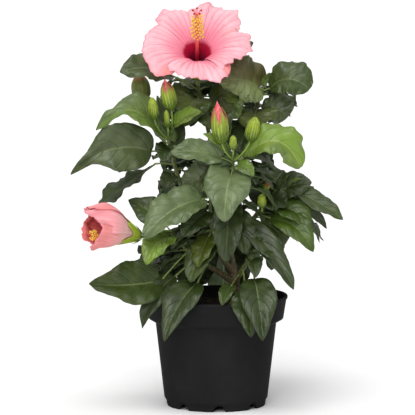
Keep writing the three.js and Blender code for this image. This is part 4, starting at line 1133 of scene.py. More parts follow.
def sepal_skin(name, base, top, tip):
    """Sepal: fresh green, ribbed, turning to another shade at its tip as u goes to 1. The tint says how
    far the tip has turned, and above 1 how far the whole sepal has darkened."""
    rib, darkened = colour(0.50, 0.57, 0.11), colour(0.085, 0.095, 0.02)
    f = Finish(name, Specular_IOR_Level=0.42)
    u, v = f.surface()
    ribs = (v * SEPAL_RIBS).lines(0.55)
    cloud = f.noise(4, 3, 0.5)
    shade = f.mix(u.ramp(0.1, 0.75), base, top)
    ripe = f.tint()
    shade = f.mix(ribs * u.ramp(-0.2, 0.5) * 0.8, shade, rib)
    shade = f.mix(cloud.ramp(0.5, 0.72) * 0.45, shade, base)
    shade = f.mix(ripe.ramp(1.0, 2.0), shade, darkened)
    shade = f.mix((u + cloud * 0.2 - 0.1).ramp(0.72, 0.96) * ripe.ramp(0.0, 0.6) * 0.9, shade, tip)
    return f.finished(shade, 0.48 + cloud * 0.12, ribs + cloud * 0.5, 0.5, 0.25)


def bud_petals():
    """Furled petals at a bud's tip: pink with red streaks along the furl."""
    f = Finish("bud_petals", Specular_IOR_Level=0.35)
    streak = f.noise(1.5, 3, 0.6, upright=0.4)
    shade = f.mix(streak.ramp(0.35, 0.65), colour(0.62, 0.035, 0.06), colour(0.88, 0.24, 0.24))
    return f.finished(shade, 0.5 + streak * 0.1, streak, 0.4, 0.2)


# The pot


def eased_corners(corners, ease_by, steps=4):
    """Rounds each inner corner of a line: a quadratic bend that starts and ends a set way from it."""
    line = [np.array(corners[0], float)]
    for before, corner, after in zip(corners, corners[1:], corners[2:]):
        before, corner, after = (np.array(p, float) for p in (before, corner, after))
        gap = min(ease_by, 0.45 * np.linalg.norm(before - corner), 0.45 * np.linalg.norm(after - corner))
        start = corner + unit(before - corner) * gap
        end = corner + unit(after - corner) * gap
        t = np.linspace(0, 1, steps)[:, None]
        line.extend((1 - t) ** 2 * start + 2 * t * (1 - t) * corner + t**2 * end)
    line.append(np.array(corners[-1], float))
    return np.array(line)


def pot_wall():
    """The pot's section turned round Z, as P(a, s) = (r(s) cos a, r(s) sin a, z(s)).
    Where a notch passes, the foot is drawn up: z becomes h + z (H - h) / H, with h the notch's arch."""
    floor_top = POT_FLOOR + POT_FLOOR_THICKNESS
    foot_inner = POT_FOOT_RADIUS - POT_FOOT_WALL
    lip_inner = POT_RIM_RADIUS - POT_LIP_WIDTH
    corners = [
        (POT_POLE, 0), (POT_HUB_RADIUS, 0), (POT_HUB_RADIUS, POT_FLOOR), (foot_inner, POT_FLOOR),
        (foot_inner, 0), (POT_FOOT_RADIUS, 0),
        (POT_FOOT_RADIUS + POT_FOOT_FLARE[0], POT_SHOULDER_HEIGHT - POT_FOOT_FLARE[1]),
        (POT_SHOULDER_RADIUS - POT_SHOULDER_EDGE[0], POT_SHOULDER_HEIGHT - POT_SHOULDER_EDGE[1]),
        (POT_SHOULDER_RADIUS, POT_SHOULDER_HEIGHT), (POT_NECK_RADIUS, POT_NECK_HEIGHT),
        (POT_BAND_BOTTOM_RADIUS - POT_BAND_EDGE[0], POT_BAND_BOTTOM - POT_BAND_EDGE[1]),
        (POT_BAND_BOTTOM_RADIUS, POT_BAND_BOTTOM),
        (POT_RIM_RADIUS - POT_LIP_PROUD, POT_HEIGHT - POT_LIP_HEIGHT - POT_LIP_EDGE),
        (POT_RIM_RADIUS, POT_HEIGHT - POT_LIP_HEIGHT), (POT_RIM_RADIUS, POT_HEIGHT),
        (lip_inner, POT_HEIGHT), (lip_inner - POT_LIP_EDGE, POT_HEIGHT - 2 * POT_LIP_EDGE),
        (POT_BAND_BOTTOM_RADIUS - POT_WALL, POT_BAND_BOTTOM), (POT_NECK_RADIUS - POT_WALL, POT_NECK_HEIGHT),
        (POT_SHOULDER_RADIUS - POT_WALL, floor_top), (POT_POLE, floor_top),
    ]
    section = eased_corners(corners, POT_ROUNDING)
    angle = turn_of(POT_SIDES)
    r, z = section[:, :1], section[:, 1:]
    step = 2 * np.pi / POT_NOTCHES
    off = (angle - math.radians(POT_NOTCH_TURN) + step / 2) % step - step / 2
    arch = np.sqrt(np.clip(POT_NOTCH_RADIUS**2 - (off * POT_FOOT_RADIUS) ** 2, 0, None))[None, :]
    reach = np.where(r < foot_inner + 0.1, POT_FLOOR, POT_SHOULDER_HEIGHT)
    in_foot = (r > POT_HUB_RADIUS + POT_HUB_CLEAR) & (z < reach)
    lift = np.where(in_foot, arch * (1 - z / reach), 0)
    rings = np.stack([r * np.cos(angle), r * np.sin(angle), z + lift], axis=-1)
    return round_skin(rings)


# The soil


def from_trunk(x, y):
    """How far places on the soil are from the trunk's foot."""
    return np.hypot(x - TRUNK_FOOT[0], y - TRUNK_FOOT[1])


def soil_height(x, y):
    """Soil level: flat under the trunk and lumpy round it, by two crossed waves."""
    free = np.clip((from_trunk(x, y) - SOIL_LEVEL_PATCH) / SOIL_PATCH_BLEND, 0, 1)
    lumps = np.sin(0.21 * x + 1.3) * np.cos(0.17 * y - 0.4) + 0.6 * np.sin(0.37 * y + 0.29 * x)
    return SOIL_TOP + SOIL_BUMP * free * lumps


def crumbled(x, y):
    """Fine lumps on the soil: the sum of four crossed waves, each shorter and lower than the one before
    and bent by a slower wave across it."""
    height = np.zeros_like(x)
    for octave in range(4):
        k = CRUMB_WAVE * CRUMB_SHORTER**octave
        height += (np.sin(k * x + 1.7 * octave + 2.1 * np.sin(0.6 * k * y))
                   * np.sin(k * y - 0.9 * octave + 1.7 * np.sin(0.7 * k * x))) / CRUMB_LOWER**octave
    return height


def soil_plug():
    """The soil as a body turned round Z: its top follows the soil level, and three more rings draw its
    wall in along the pot's inside and close it underneath."""
    edge = SOIL_REACH - SOIL_GAP
    under = [edge - SOIL_DRAWN_IN, POT_NECK_RADIUS - POT_WALL - SOIL_NECK_CLEAR, SOIL_POLE]
    rings = np.concatenate([np.linspace(SOIL_POLE, edge, SOIL_RINGS), under])
    angle = turn_of(SOIL_SIDES)
    x, y = rings[:, None] * np.cos(angle), rings[:, None] * np.sin(angle)
    z = soil_height(x, y) + CRUMB_RELIEF * crumbled(x, y)
    z[-3], z[-2], z[-1] = POT_BAND_BOTTOM + SOIL_BAND_CLEAR, POT_NECK_HEIGHT, POT_NECK_HEIGHT - SOIL_DISH
    return round_skin(np.stack([x, y, z], axis=-1))


def icosahedron():
    """Twelve corners and twenty faces, from three crossed golden rectangles."""
    g = (1 + 5**0.5) / 2
    corners = np.array([(-1, g, 0), (1, g, 0), (-1, -g, 0), (1, -g, 0), (0, -1, g), (0, 1, g), (0, -1, -g),
                        (0, 1, -g), (g, 0, -1), (g, 0, 1), (-g, 0, -1), (-g, 0, 1)]) / np.hypot(1, g)
    faces = [(0, 11, 5), (0, 5, 1), (0, 1, 7), (0, 7, 10), (0, 10, 11), (1, 5, 9), (5, 11, 4), (11, 10, 2),
             (10, 7, 6), (7, 1, 8), (3, 9, 4), (3, 4, 2), (3, 2, 6), (3, 6, 8), (3, 8, 9), (4, 9, 5),
             (2, 4, 11), (6, 2, 10), (8, 6, 7), (9, 8, 1)]
    return corners, np.array([(a, b, c, c) for a, b, c in faces])


def bits(centres, sizes, turns, seed, finishes, rough=0.3):
    """Many small bodies at once: each corner of an icosahedron scaled, jostled, turned and moved."""
    corners, faces = icosahedron()
    count = len(centres)
    rng = np.random.default_rng(seed)
    shaped = corners[None] * sizes[:, None, :] * (1 + rough * (rng.random((count, 12, 1)) - 0.5))
    c, s = np.cos(turns), np.sin(turns)
    x = shaped[..., 0] * c[:, None] - shaped[..., 1] * s[:, None]
    y = shaped[..., 0] * s[:, None] + shaped[..., 1] * c[:, None]
    points = np.stack([x, y, shaped[..., 2]], axis=-1) + centres[:, None]
    every = (faces[None] + 12 * np.arange(count)[:, None, None]).reshape(-1, 4)
    return Skin(points.reshape(-1, 3), every, np.repeat(finishes, len(faces)))


def soil_crumbs():
    """Loose crumbs and fibres over the soil, more of them small than large."""
    rng = np.random.default_rng(CRUMB_SEED)
    radius = (SOIL_REACH - CRUMB_GAP) * np.sqrt(rng.random(CRUMBS))
    angle = 2 * np.pi * rng.random(CRUMBS)
    x, y = radius * np.cos(angle), radius * np.sin(angle)
    size = CRUMB_SIZE[0] + CRUMB_SIZE[1] * rng.random(CRUMBS) ** 3
    stretch = np.where(rng.random(CRUMBS) < FIBRE_SHARE, FIBRE_STRETCH, CRUMB_STRETCH)
    wide = CRUMB_WIDE[0] + CRUMB_WIDE[1] * rng.random(CRUMBS)
    sizes = np.stack([size * stretch, size * wide, size * CRUMB_TALL], axis=-1)
    z = soil_height(x, y) + CRUMB_RELIEF * crumbled(x, y) + CRUMB_LIFT * size
    centres = np.stack([x, y, z], axis=-1)
    shades = (rng.random(CRUMBS) < LIGHT_CRUMBS).astype(int)
    keep = np.flatnonzero(from_trunk(x, y) > CRUMB_TRUNK_GAP)
    return bits(centres[keep], sizes[keep], (angle * 7)[keep], CRUMB_SHAPE_SEED, shades[keep])


# Leaves


def level(degrees):
    """The level direction at a turn round Z."""
    return np.array([math.cos(math.radians(degrees)), math.sin(math.radians(degrees)), 0.0])


def leaf_of(root, row, tone="d", outline="f"):
    """A leaf from its root: the stalk's bend, the blade's base, crest and tip, and its facing."""
    x, y, z, petiole, width, lean, sag = row[1:8]
    heading = row[8] if len(row) > 8 else LEAF_HEADING
    rise = row[9] if len(row) > 9 else PETIOLE_RISE
    tip = np.array([x, y, z], float)
    leave = unit(unit(tip - root) + UP * rise)
    base = root + leave * petiole
    length = float(np.linalg.norm(tip - base))
    chord = (tip - base) / length
    hint = level(heading) * math.sin(math.radians(lean)) + UP * math.cos(math.radians(lean))
    arch = squared(UP * LEAF_ARCH[0] + hint * LEAF_ARCH[1], chord)
    return {
        "length": length, "width": width, "face": squared(hint, chord), "tone": tone, "outline": outline,
        "blade": Bend(base, (base + tip) / 2 + arch * (2 * sag * length), tip),
        "stalk": Bend(root, (root + base) / 2 + UP * (STALK_ARCH * petiole), base),
    }


def peaked(u, foot, tip, widest):
    """u^a (1-u)^b over its greatest value, which it has at the widest place."""
    return u**foot * (1 - u) ** tip / (widest**foot * (1 - widest) ** tip)


def blade_share(u):
    """Share of the full width along the solid's blade: u^a (1-u)^b over its peak at the widest place."""
    tip = LEAF_BASE_POWER * (1 - LEAF_WIDEST) / LEAF_WIDEST
    return peaked(u, LEAF_BASE_POWER, tip, LEAF_WIDEST)


def outline_share(leaf, u):
    """Share of the full width by the leaf's own outline: u^a (1-u)^b over its peak, less at the tail."""
    foot, tip, tail = OUTLINES[leaf["outline"]][:3]
    return peaked(u, foot, tip, foot / (foot + tip)) * (1 - tail * ease(TAIL_FROM, TAIL_TO, u))


def blade_directions(leaf, u):
    """Midrib points, the blade's upper normal and its side at fractions u of its length."""
    travel = leaf["blade"].along(u)
    normal = squared(np.broadcast_to(leaf["face"], travel.shape), travel)
    return leaf["blade"].at(u), normal, np.cross(travel, normal)


def plain_blade(leaf, u, v):
    """The solid's blade: midrib + side v r cos f + normal |v| r sin f, with r half the width's share."""
    centre, normal, side = blade_directions(leaf, u)
    reach = 0.5 * leaf["width"] * blade_share(np.asarray(u))[:, None, None]
    v = np.asarray(v)[None, :, None]
    fold = math.radians(LEAF_FOLD)
    aside = v * reach * math.cos(fold) * side[:, None]
    return centre[:, None] + aside + np.abs(v) * reach * math.sin(fold) * normal[:, None]


def leaf_samples(leaf):
    """Points over a leaf by which leaves keep clear; the outer ones leave out the leaf's foot."""
    outer, foot = (plain_blade(leaf, np.array(places), SAMPLES_ACROSS).reshape(-1, 3)
                   for places in (SAMPLES_OUTER, SAMPLES_FOOT))
    return {"all": np.vstack([outer, foot, leaf["stalk"].at(np.array(SAMPLES_STALK))]), "outer": outer}


def trunk_place(height):
    """The fraction of the trunk at which it stands at a height, by halving."""
    low, high = 0.0, 1.0
    for _ in range(30):
        middle = (low + high) / 2
        if TRUNK.at(middle)[0][2] > height:
            high = middle
        else:
            low = middle
    return (low + high) / 2


def inside_space(shoot, points):
    """Whether all points keep to the shoot's space and out of the windows as seen from the front."""
    low, high = np.array(shoot["space"], float).T
    if not (np.all(points > low) and np.all(points < high)):
        return False
    seen = points[:, 2] + SIGHT_DROP * points[:, 1]
    for left, right, bottom, top in WINDOWS:
        if np.any((points[:, 0] > left) & (points[:, 0] < right) & (seen > bottom) & (seen < top)):
            return False
    return True


def clear_of(points, others, distance):
    """Whether no point lies within a distance of any other point."""
    if len(others) == 0:
        return True
    low, high = points.min(0) - distance, points.max(0) + distance
    near = others[np.all((others >= low) & (others <= high), axis=1)]
    if len(near) == 0:
        return True
    gaps = points[:, None] - near[None]
    return float(np.min(np.einsum("ijk,ijk->ij", gaps, gaps))) > distance**2


def between(ends, share):
    """The value at a share of the way from one end to the other."""
    return ends[0] + (ends[1] - ends[0]) * share


def within(ends, draw):
    """The least value and the spread over it, times one draw."""
    return ends[0] + ends[1] * draw()


def fill_shoot(shoot, placed, limbs, rule, enough, clear, tone_of):
    """Rule leaves turn round the stem by the golden angle, shorter and less drooping toward its tip."""
    own_clear, others_clear, limb_clear = clear
    draw = seeded(rule["seed"])
    count = rule["count"]
    for attempt in range(count * LEAF_TRIES):
        if len(shoot["grown"]) >= enough:
            break
        share = (attempt % count + 0.5) / count
        heading = rule["turn"] + GOLDEN_ANGLE * attempt + RULE_TURN_SPREAD * (draw() - 0.5)
        blade = between(rule["length"], share) * within(RULE_LENGTH, draw)
        droop = math.radians(between(RULE_DROOP, share) + RULE_DROOP_SPREAD * (draw() - 0.5))
        lean = within(RULE_LEAN, draw)
        sag = within(RULE_SAG, draw)
        petiole = blade * within(RULE_PETIOLE, draw)
        at = between((rule["first"], RULE_END), share)
        way = math.cos(droop) * level(heading) - math.sin(droop) * UP
        tip = shoot["curve"].at(at)[0] + (blade + petiole) * way
        row = [at, *tip, petiole, LEAF_WIDTH_SHARE * blade, lean, sag, heading]
        outline = RULE_OUTLINES[attempt % len(RULE_OUTLINES)]
        leaf = leaf_of(shoot["curve"].at(at)[0], row, tone_of(share), outline)
        points = leaf_samples(leaf)
        if not inside_space(shoot, points["all"]) or not clear_of(points["all"], limbs, limb_clear):
            continue
        own = [p["outer"] for owner, p in placed if owner is shoot]
        others = [p["all"] for owner, p in placed if owner is not shoot]
        if own and not clear_of(points["outer"], np.vstack(own), own_clear):
            continue
        if others and not clear_of(points["all"], np.vstack(others), others_clear):
            continue
        shoot["grown"].append(leaf)
        placed.append((shoot, points))


def grow():
    """Grows the shoots' named leaves, then the rule leaves of the solids, then the finer ones."""
    tip = TRUNK.at(1.0)[0]
    for shoot in SHOOTS:
        start = tip if shoot["from"] is None else TRUNK.at(trunk_place(shoot["from"]))[0]
        shoot["curve"] = Route([start, *shoot["path"]])
        letters = zip(shoot["leaves"], shoot["tones"], shoot["outlines"])
        shoot["grown"] = [leaf_of(shoot["curve"].at(row[0])[0], row, *pair) for row, *pair in letters]
    placed = [(shoot, leaf_samples(leaf)) for shoot in SHOOTS for leaf in shoot["grown"]]
    trunk_points = TRUNK.at(np.arange(31) / 30)
    tone_draw = seeded(TONE_SEED)

    def tone_of(share):
        tones = RULE_TONES if share < RULE_TIP_FROM else RULE_TIP_TONES
        return tones[int(len(tones) * tone_draw())]

    limbs = {s["name"]: s["curve"].at(np.arange(41) / 40) for s in SHOOTS}
    for finer in (False, True):
        for shoot in SHOOTS:
            others = [limbs[s["name"]] for s in SHOOTS if s is not shoot] + [trunk_points]
            rule = dict(shoot["rule"])
            enough = len(shoot["leaves"]) + rule["count"]
            clear = (LEAF_CLEAR_OWN, LEAF_CLEAR_OTHERS, LIMB_CLEAR)
            if finer:
                rule.update(count=FINER_COUNT, length=FINER_LENGTHS)
                rule.update(seed=rule["seed"] + FINER_SEED, turn=rule["turn"] + FINER_TURN)
                enough = len(shoot["grown"]) + FINER_COUNT
                clear = (FINER_CLEAR, FINER_CLEAR, FINER_LIMB_CLEAR)
            fill_shoot(shoot, placed, np.vstack(others), rule, enough, clear, tone_of)


def blade_skin(leaf, number, rows, columns):
    """A leaf blade as a thin closed sheet over the solid's blade S(u, v), with
    teeth: the reach grows by saw-like steps toward the tip, deeper on the outer half;
    waves: the margin lifts by A v^2 sin(2 pi (n u + phase of its side)) and by a shorter one;
    twist: the cross-section turns about the midrib as u grows;
    belly: each half stands up between midrib and margin by sin(pi |v|);
    quilting: the skin bulges between the side veins, along lines of constant u - slant |v|^curve;
    lobes: the foot's outer parts run back past the stalk."""
    draw = seeded(BLADE_SEED + number)
    width = leaf["width"]
    lively = OUTLINES[leaf["outline"]][3]
    u = np.linspace(0.004, 0.996, rows)
    v = np.linspace(-1, 1, columns)
    v = np.sign(v) * np.abs(v) ** 0.9
    uu, vv = np.meshgrid(u, v, indexing="ij")
    across = np.abs(vv)

    tooth = (uu * max(5, round(leaf["length"] / TOOTH_LENGTH)) + 0.37 * (vv > 0) + draw()) % 1
    teeth = TOOTH_DEPTH * lively * (tooth - 0.5) * ease(0.2, 0.45, uu) * ease(1.0, 0.93, uu)
    share = np.maximum(outline_share(leaf, uu), 0.02) * (1 + teeth * across**3)
    reach = 0.5 * width * share

    centre, normal, side = blade_directions(leaf, u)
    turn = (BLADE_TWIST * (draw() - 0.5) * (u - 0.25))[:, None]
    normal, side = np.cos(turn) * normal + np.sin(turn) * side, np.cos(turn) * side - np.sin(turn) * normal
    fold = math.radians(LEAF_FOLD + FOLD_SPREAD * (draw() - 0.5)) * (1.25 - 0.5 * uu)

    count, phase = within(WAVE_COUNT, draw), np.where(vv < 0, draw(), draw())
    height = width * lively * within(WAVE_HEIGHT, draw)
    fade = ease(0.0, 0.25, uu) * ease(1.0, 0.9, uu)
    wave = height * across**2 * fade * (np.sin(2 * np.pi * (count * uu + phase))
                                        + 0.35 * np.sin(2 * np.pi * (2.7 * count * uu + 1.7 * phase)))
    line = (uu - VEIN_SLANT * across**VEIN_CURVE) * VEIN_COUNT
    quilt = QUILT_HEIGHT * width * (np.abs(np.sin(np.pi * line)) - 0.6) * across**0.5 * (1 - across**4)
    lobe = LOBES.get(leaf["outline"], 0.0) * width * (across * ease(0.3, 0.0, uu)) ** 1.4
    belly = BELLY_HEIGHT * width * np.sin(np.pi * across) * ease(0.0, 0.3, uu) * ease(1.0, 0.75, uu)
    lift = np.sqrt(vv**2 + 0.012) - 0.11
    rise = reach * lift * np.sin(fold) + wave + belly + quilt * ease(0.0, 0.15, uu) + 0.7 * lobe
    middle = (centre[:, None] + (vv * reach * np.cos(fold))[..., None] * side[:, None]
              + rise[..., None] * normal[:, None] - lobe[..., None] * leaf["blade"].along(u)[:, None])
    thick = (BLADE_THICKNESS * (1 - 0.7 * across))[..., None] * normal[:, None]
    return thick_skin(middle, thick, uu, vv, (TONES.index(leaf["tone"]), UNDER))


def blade_skins(shoot, leaves, first):
    """The blades and ribs of a shoot's leaves, which are numbered on from a first number."""
    skins = []
    for i, leaf in enumerate(leaves):
        grid = NAMED_GRID if i < len(shoot["leaves"]) else RULE_GRID
        if leaf["length"] < SMALL_LEAF:
            grid = SMALL_GRID
        skins += [blade_skin(leaf, first + i, *grid), rib_skin(leaf)]
    return skins


def rib_skin(leaf, rows=9, sides=5):
    """The midrib under a blade: a tapering round rib from u = 0 nearly to the tip, let into the
    underside, whose radius is a (1-u)^0.8 + b."""
    u = np.linspace(0.0, RIB_END, rows)
    centre, normal, side = blade_directions(leaf, u)
    tapering, staying = RIB_RADIUS
    radius = (tapering * (1 - u) ** 0.8 + staying) * min(1.0, leaf["length"] / RIB_FULL_LENGTH)
    radius = radius[:, None, None]
    middle = centre[:, None] - RIB_LET_IN * radius * normal[:, None]
    return round_skin(middle + radius * spokes(turn_of(sides), side, normal), RIB)


def stalk_skin(leaf):
    """A leaf stalk, thicker where it leaves the stem and where the blade begins."""
    t = np.linspace(0, 1, STALK_RINGS)
    scale = min(1.0, leaf["length"] / STALK_FULL_LENGTH)
    (at_stem, stem_width), (at_blade, blade_width) = STALK_AT_STEM, STALK_AT_BLADE
    swell = STALK_THICK + at_stem * bulge(t, 0, stem_width) + at_blade * bulge(t, 1, blade_width)
    return tube(leaf["stalk"], t, PETIOLE_RADIUS * scale * swell, STALK_SIDES, LEAF_STALK)


# Stems and boughs


def bark_ridges(places, angle):
    """Bark relief: upright cracks that wander with height and open toward the foot."""
    wander = 0.9 * np.sin(9 * places) + 0.5 * np.sin(23 * places + 1)
    cracks = np.abs(np.sin(3.5 * angle + wander)) ** 0.5
    cracks = cracks + 0.5 * np.abs(np.sin(8 * angle - 1.4 * wander)) ** 0.6
    rings = 0.25 * np.sin(70 * places + 2 * np.sin(2 * angle))
    return 0.075 * (cracks - 0.9) + 0.02 * rings


def trunk_skin():
    """The trunk: radius falls evenly to its tip, with a lobed flare at the foot and bark relief."""
    places = np.linspace(0, 1, TRUNK_RINGS)
    height = TRUNK.at(places)[:, 2] - TRUNK.at(0.0)[0][2]
    flare = np.clip(1 - height / TRUNK_FLARE_HEIGHT, 0, None)
    radii = between((TRUNK_FOOT_RADIUS, TRUNK_TIP_RADIUS), places) + TRUNK_FLARE * flare**2
    scars = sum(bulge(height, h, TRUNK_SCAR_WIDTH) for h in TRUNK_SCARS)

    def relief(t, angle):
        lobes = FLARE_LOBES * np.interp(t, places, flare) * np.sin(4.5 * angle)
        return bark_ridges(t, angle) + lobes

    rings = tube_rings(TRUNK, places, radii + TRUNK_SCAR_SWELL * scars, TRUNK_SIDES, relief)
    rings[0, :, 2] = TRUNK.at(0.0)[0][2]
    return round_skin(rings)


def bough_skin(shoot):
    """A bough from inside the trunk to its shoot's split, with a collar and scars of shed leaves."""
    places = np.linspace(0, shoot["split"], BOUGH_RINGS)
    far = np.linalg.norm(shoot["curve"].at(places) - shoot["curve"].at(0.0), axis=1)
    collar = BOUGH_COLLAR * bulge(far, 4, 4)
    scars = BOUGH_SCAR_SWELL * sum(bulge(far, d, BOUGH_SCAR_WIDTH) for d in BOUGH_SCARS)
    radii = between(shoot["radii"], places) * (1 + collar + scars)
    return tube(shoot["curve"], places, radii, BOUGH_SIDES, 0, lambda t, a: BOUGH_BARK * bark_ridges(t, a))


def stem_skin(shoot):
    """The leafy part of a shoot's stem, swollen where each leaf leaves it, to its growing tip."""
    places = np.linspace(shoot["split"], 1, STEM_RINGS)
    swell = sum(bulge(places, row[0], JOINT_WIDTH) for row in shoot["leaves"])
    radii = between(shoot["radii"], places) * (1 + JOINT_SWELL * np.clip(swell, 0, 1.2))
    radii = radii * np.where(places > 0.985, 0.75, 1)
    return tube(shoot["curve"], places, radii, STEM_SIDES)


def tip_leaves(shoot):
    """Small furled leaves at a shoot's growing tip, each turned on by the golden angle and longer."""
    end, travel = shoot["curve"].at(1.0)[0], shoot["curve"].along(1.0)[0]
    leaves = []
    for k in range(TIP_LEAVES):
        heading = GOLDEN_ANGLE * k + TIP_TURN
        way = unit(travel + TIP_OUT * level(heading) + TIP_RISE * UP)
        tip = end + way * (TIP_LENGTH[0] + TIP_LENGTH[1] * k)
        row = [1.0, *tip, TIP_PETIOLE, TIP_WIDTH[0] + TIP_WIDTH[1] * k, TIP_LEAN, TIP_SAG, heading]
        leaves.append(leaf_of(end - travel, row, YOUNG_TONES[k % 2]))
    return leaves


# Buds and bracts


def bract_skins(frame_of, radius, length, width, spread, seed):
    """Narrow pointed bracts round a bud or bloom's foot, each a small blade curving up and out."""
    draw = seeded(seed)
    skins = []
    origin, axis = frame_of[:2]
    u, v = np.linspace(0.01, 0.995, BRACT_ROWS), np.linspace(-1, 1, BRACT_COLUMNS)
    uu, vv = np.meshgrid(u, v, indexing="ij")
    for k in range(BRACTS):
        turn = 360 * k / BRACTS + BRACT_TURN_SPREAD * (draw() - 0.5)
        root = place(frame_of, radius * BRACT_ROOT, turn, 0.0)
        out = place(frame_of, 1.0, turn, 0.0) - origin
        reach = length * within(BRACT_REACH, draw)
        tip = root + axis * reach * (1 - 0.4 * spread) + out * (radius * BRACT_OUT + reach * spread)
        up, aside = BRACT_CREST
        crest = root + axis * reach * up + out * (radius * BRACT_OUT + reach * spread * aside)
        centre, normal, side = blade_directions({"face": -out, "blade": Bend(root, crest, tip)}, u)
        half = 0.5 * width * np.maximum(blade_share(u), BRACT_TIP_WIDTH)
        middle = centre[:, None] + (half[:, None] * v)[..., None] * side[:, None]
        skins.append(thick_skin(middle, BRACT_THICKNESS * normal[:, None], uu, vv, (BRACT, BRACT)))
    return skins


def bud_skins(shoot, row, opened, ripe):
    """A bud: a stalk with a joint, furled petals, a ring of bracts, and a shell of five ribbed sepals,
    whose edge stands at 1 - o (S - L c^0.8) of the bud's length, with o how far it has opened, S and L
    the shell's two shares, and c = (1 + cos 5a) / 2."""
    at, bx, by, bz, tx, ty, tz, width = row
    root = shoot["curve"].at(at)[0]
    base, top = np.array([bx, by, bz], float), np.array([tx, ty, tz], float)
    axis = top - base
    length = float(np.linalg.norm(axis))
    bend = base - axis / length * (BUD_STALK_BEND * np.linalg.norm(root - base))
    stalk = Bend(root, bend, base + BUD_SEAT * axis)
    t = np.linspace(0, 1, BUD_STALK_RINGS)
    stalk_radii = BUD_STALK_RADIUS + 0.35 * bulge(t, 0.72, 0.03) + 0.35 * ease(0.9, 1.0, t)

    frame_of = axis_frame(base, axis)
    s = np.linspace(0.0, 1, BUD_RINGS)
    angle = turn_of(BUD_SIDES)
    degrees = np.degrees(angle)[None, :] + LOBE_TURN
    reach = 0.5 * width
    lobes = 0.5 + 0.5 * np.cos(SEPALS * angle)
    edge = 1.0 - opened * (SHELL_SHORT - SHELL_LOBE * lobes**0.8)
    share = s[:, None] * edge[None, :]
    ribs = 1 + SEPAL_PROUD * np.cos(SEPALS * angle) + SEPAL_RIB_PROUD * np.cos(SEPAL_RIBS * angle)
    radius = reach * smooth_through(*BUD_SWELL, share) * ribs[None, :]
    radius = radius * (1 + 0.05 * opened * ease(0.75, 1.0, s)[:, None])
    closed = 1 - min(3 * opened, 1)
    radius = radius + 0.34 * reach * closed * bulge(s, 0.84, 0.12)[:, None]
    share = share + 0.09 * closed * bulge(s, 0.95, 0.05)[:, None] * (lobes[None, :] - 0.6)
    outer = place(frame_of, radius, degrees, share * length)

    skins = [tube(stalk, t, stalk_radii, BUD_STALK_SIDES, STALK)]
    if opened > BUD_SHOWS_PETALS:
        inner = place(frame_of, np.maximum(radius - SHELL_WALL, 0.02), degrees, share * length - 0.05)
        skins.append(shell_skin(outer, inner, s, SEPAL))
        furl = 1 + FURL_FOLD_DEPTH * np.cos(FURL_FOLDS * angle)[None, :] * s[:, None]
        swell = smooth_through(*BUD_SWELL, s)[:, None]
        within_shell = (FURL_FILLS * reach * swell * furl - SHELL_WALL).clip(0.05)
        coil = place(frame_of, within_shell, degrees + FURL_TURN * s[:, None], s[:, None] * length)
        skins.append(round_skin(coil, FURL))
    else:
        skins.append(round_skin(outer, SEPAL))
    for skin in skins:
        skin.tint = np.full(len(skin.points), ripe)
    seed = int(bx * 7) % 97
    return skins + bract_skins(frame_of, 0.24 * width, 0.4 * length, 0.12 * width + 0.5, 0.4, seed)


# Blooms


def rippled(v, ripples, waves):
    """The sum of d sin(n v + w) over ripples of depth d and number n, each with its own wave w."""
    return sum(depth * np.sin(often * v + wave) for (depth, often), wave in zip(ripples, waves))


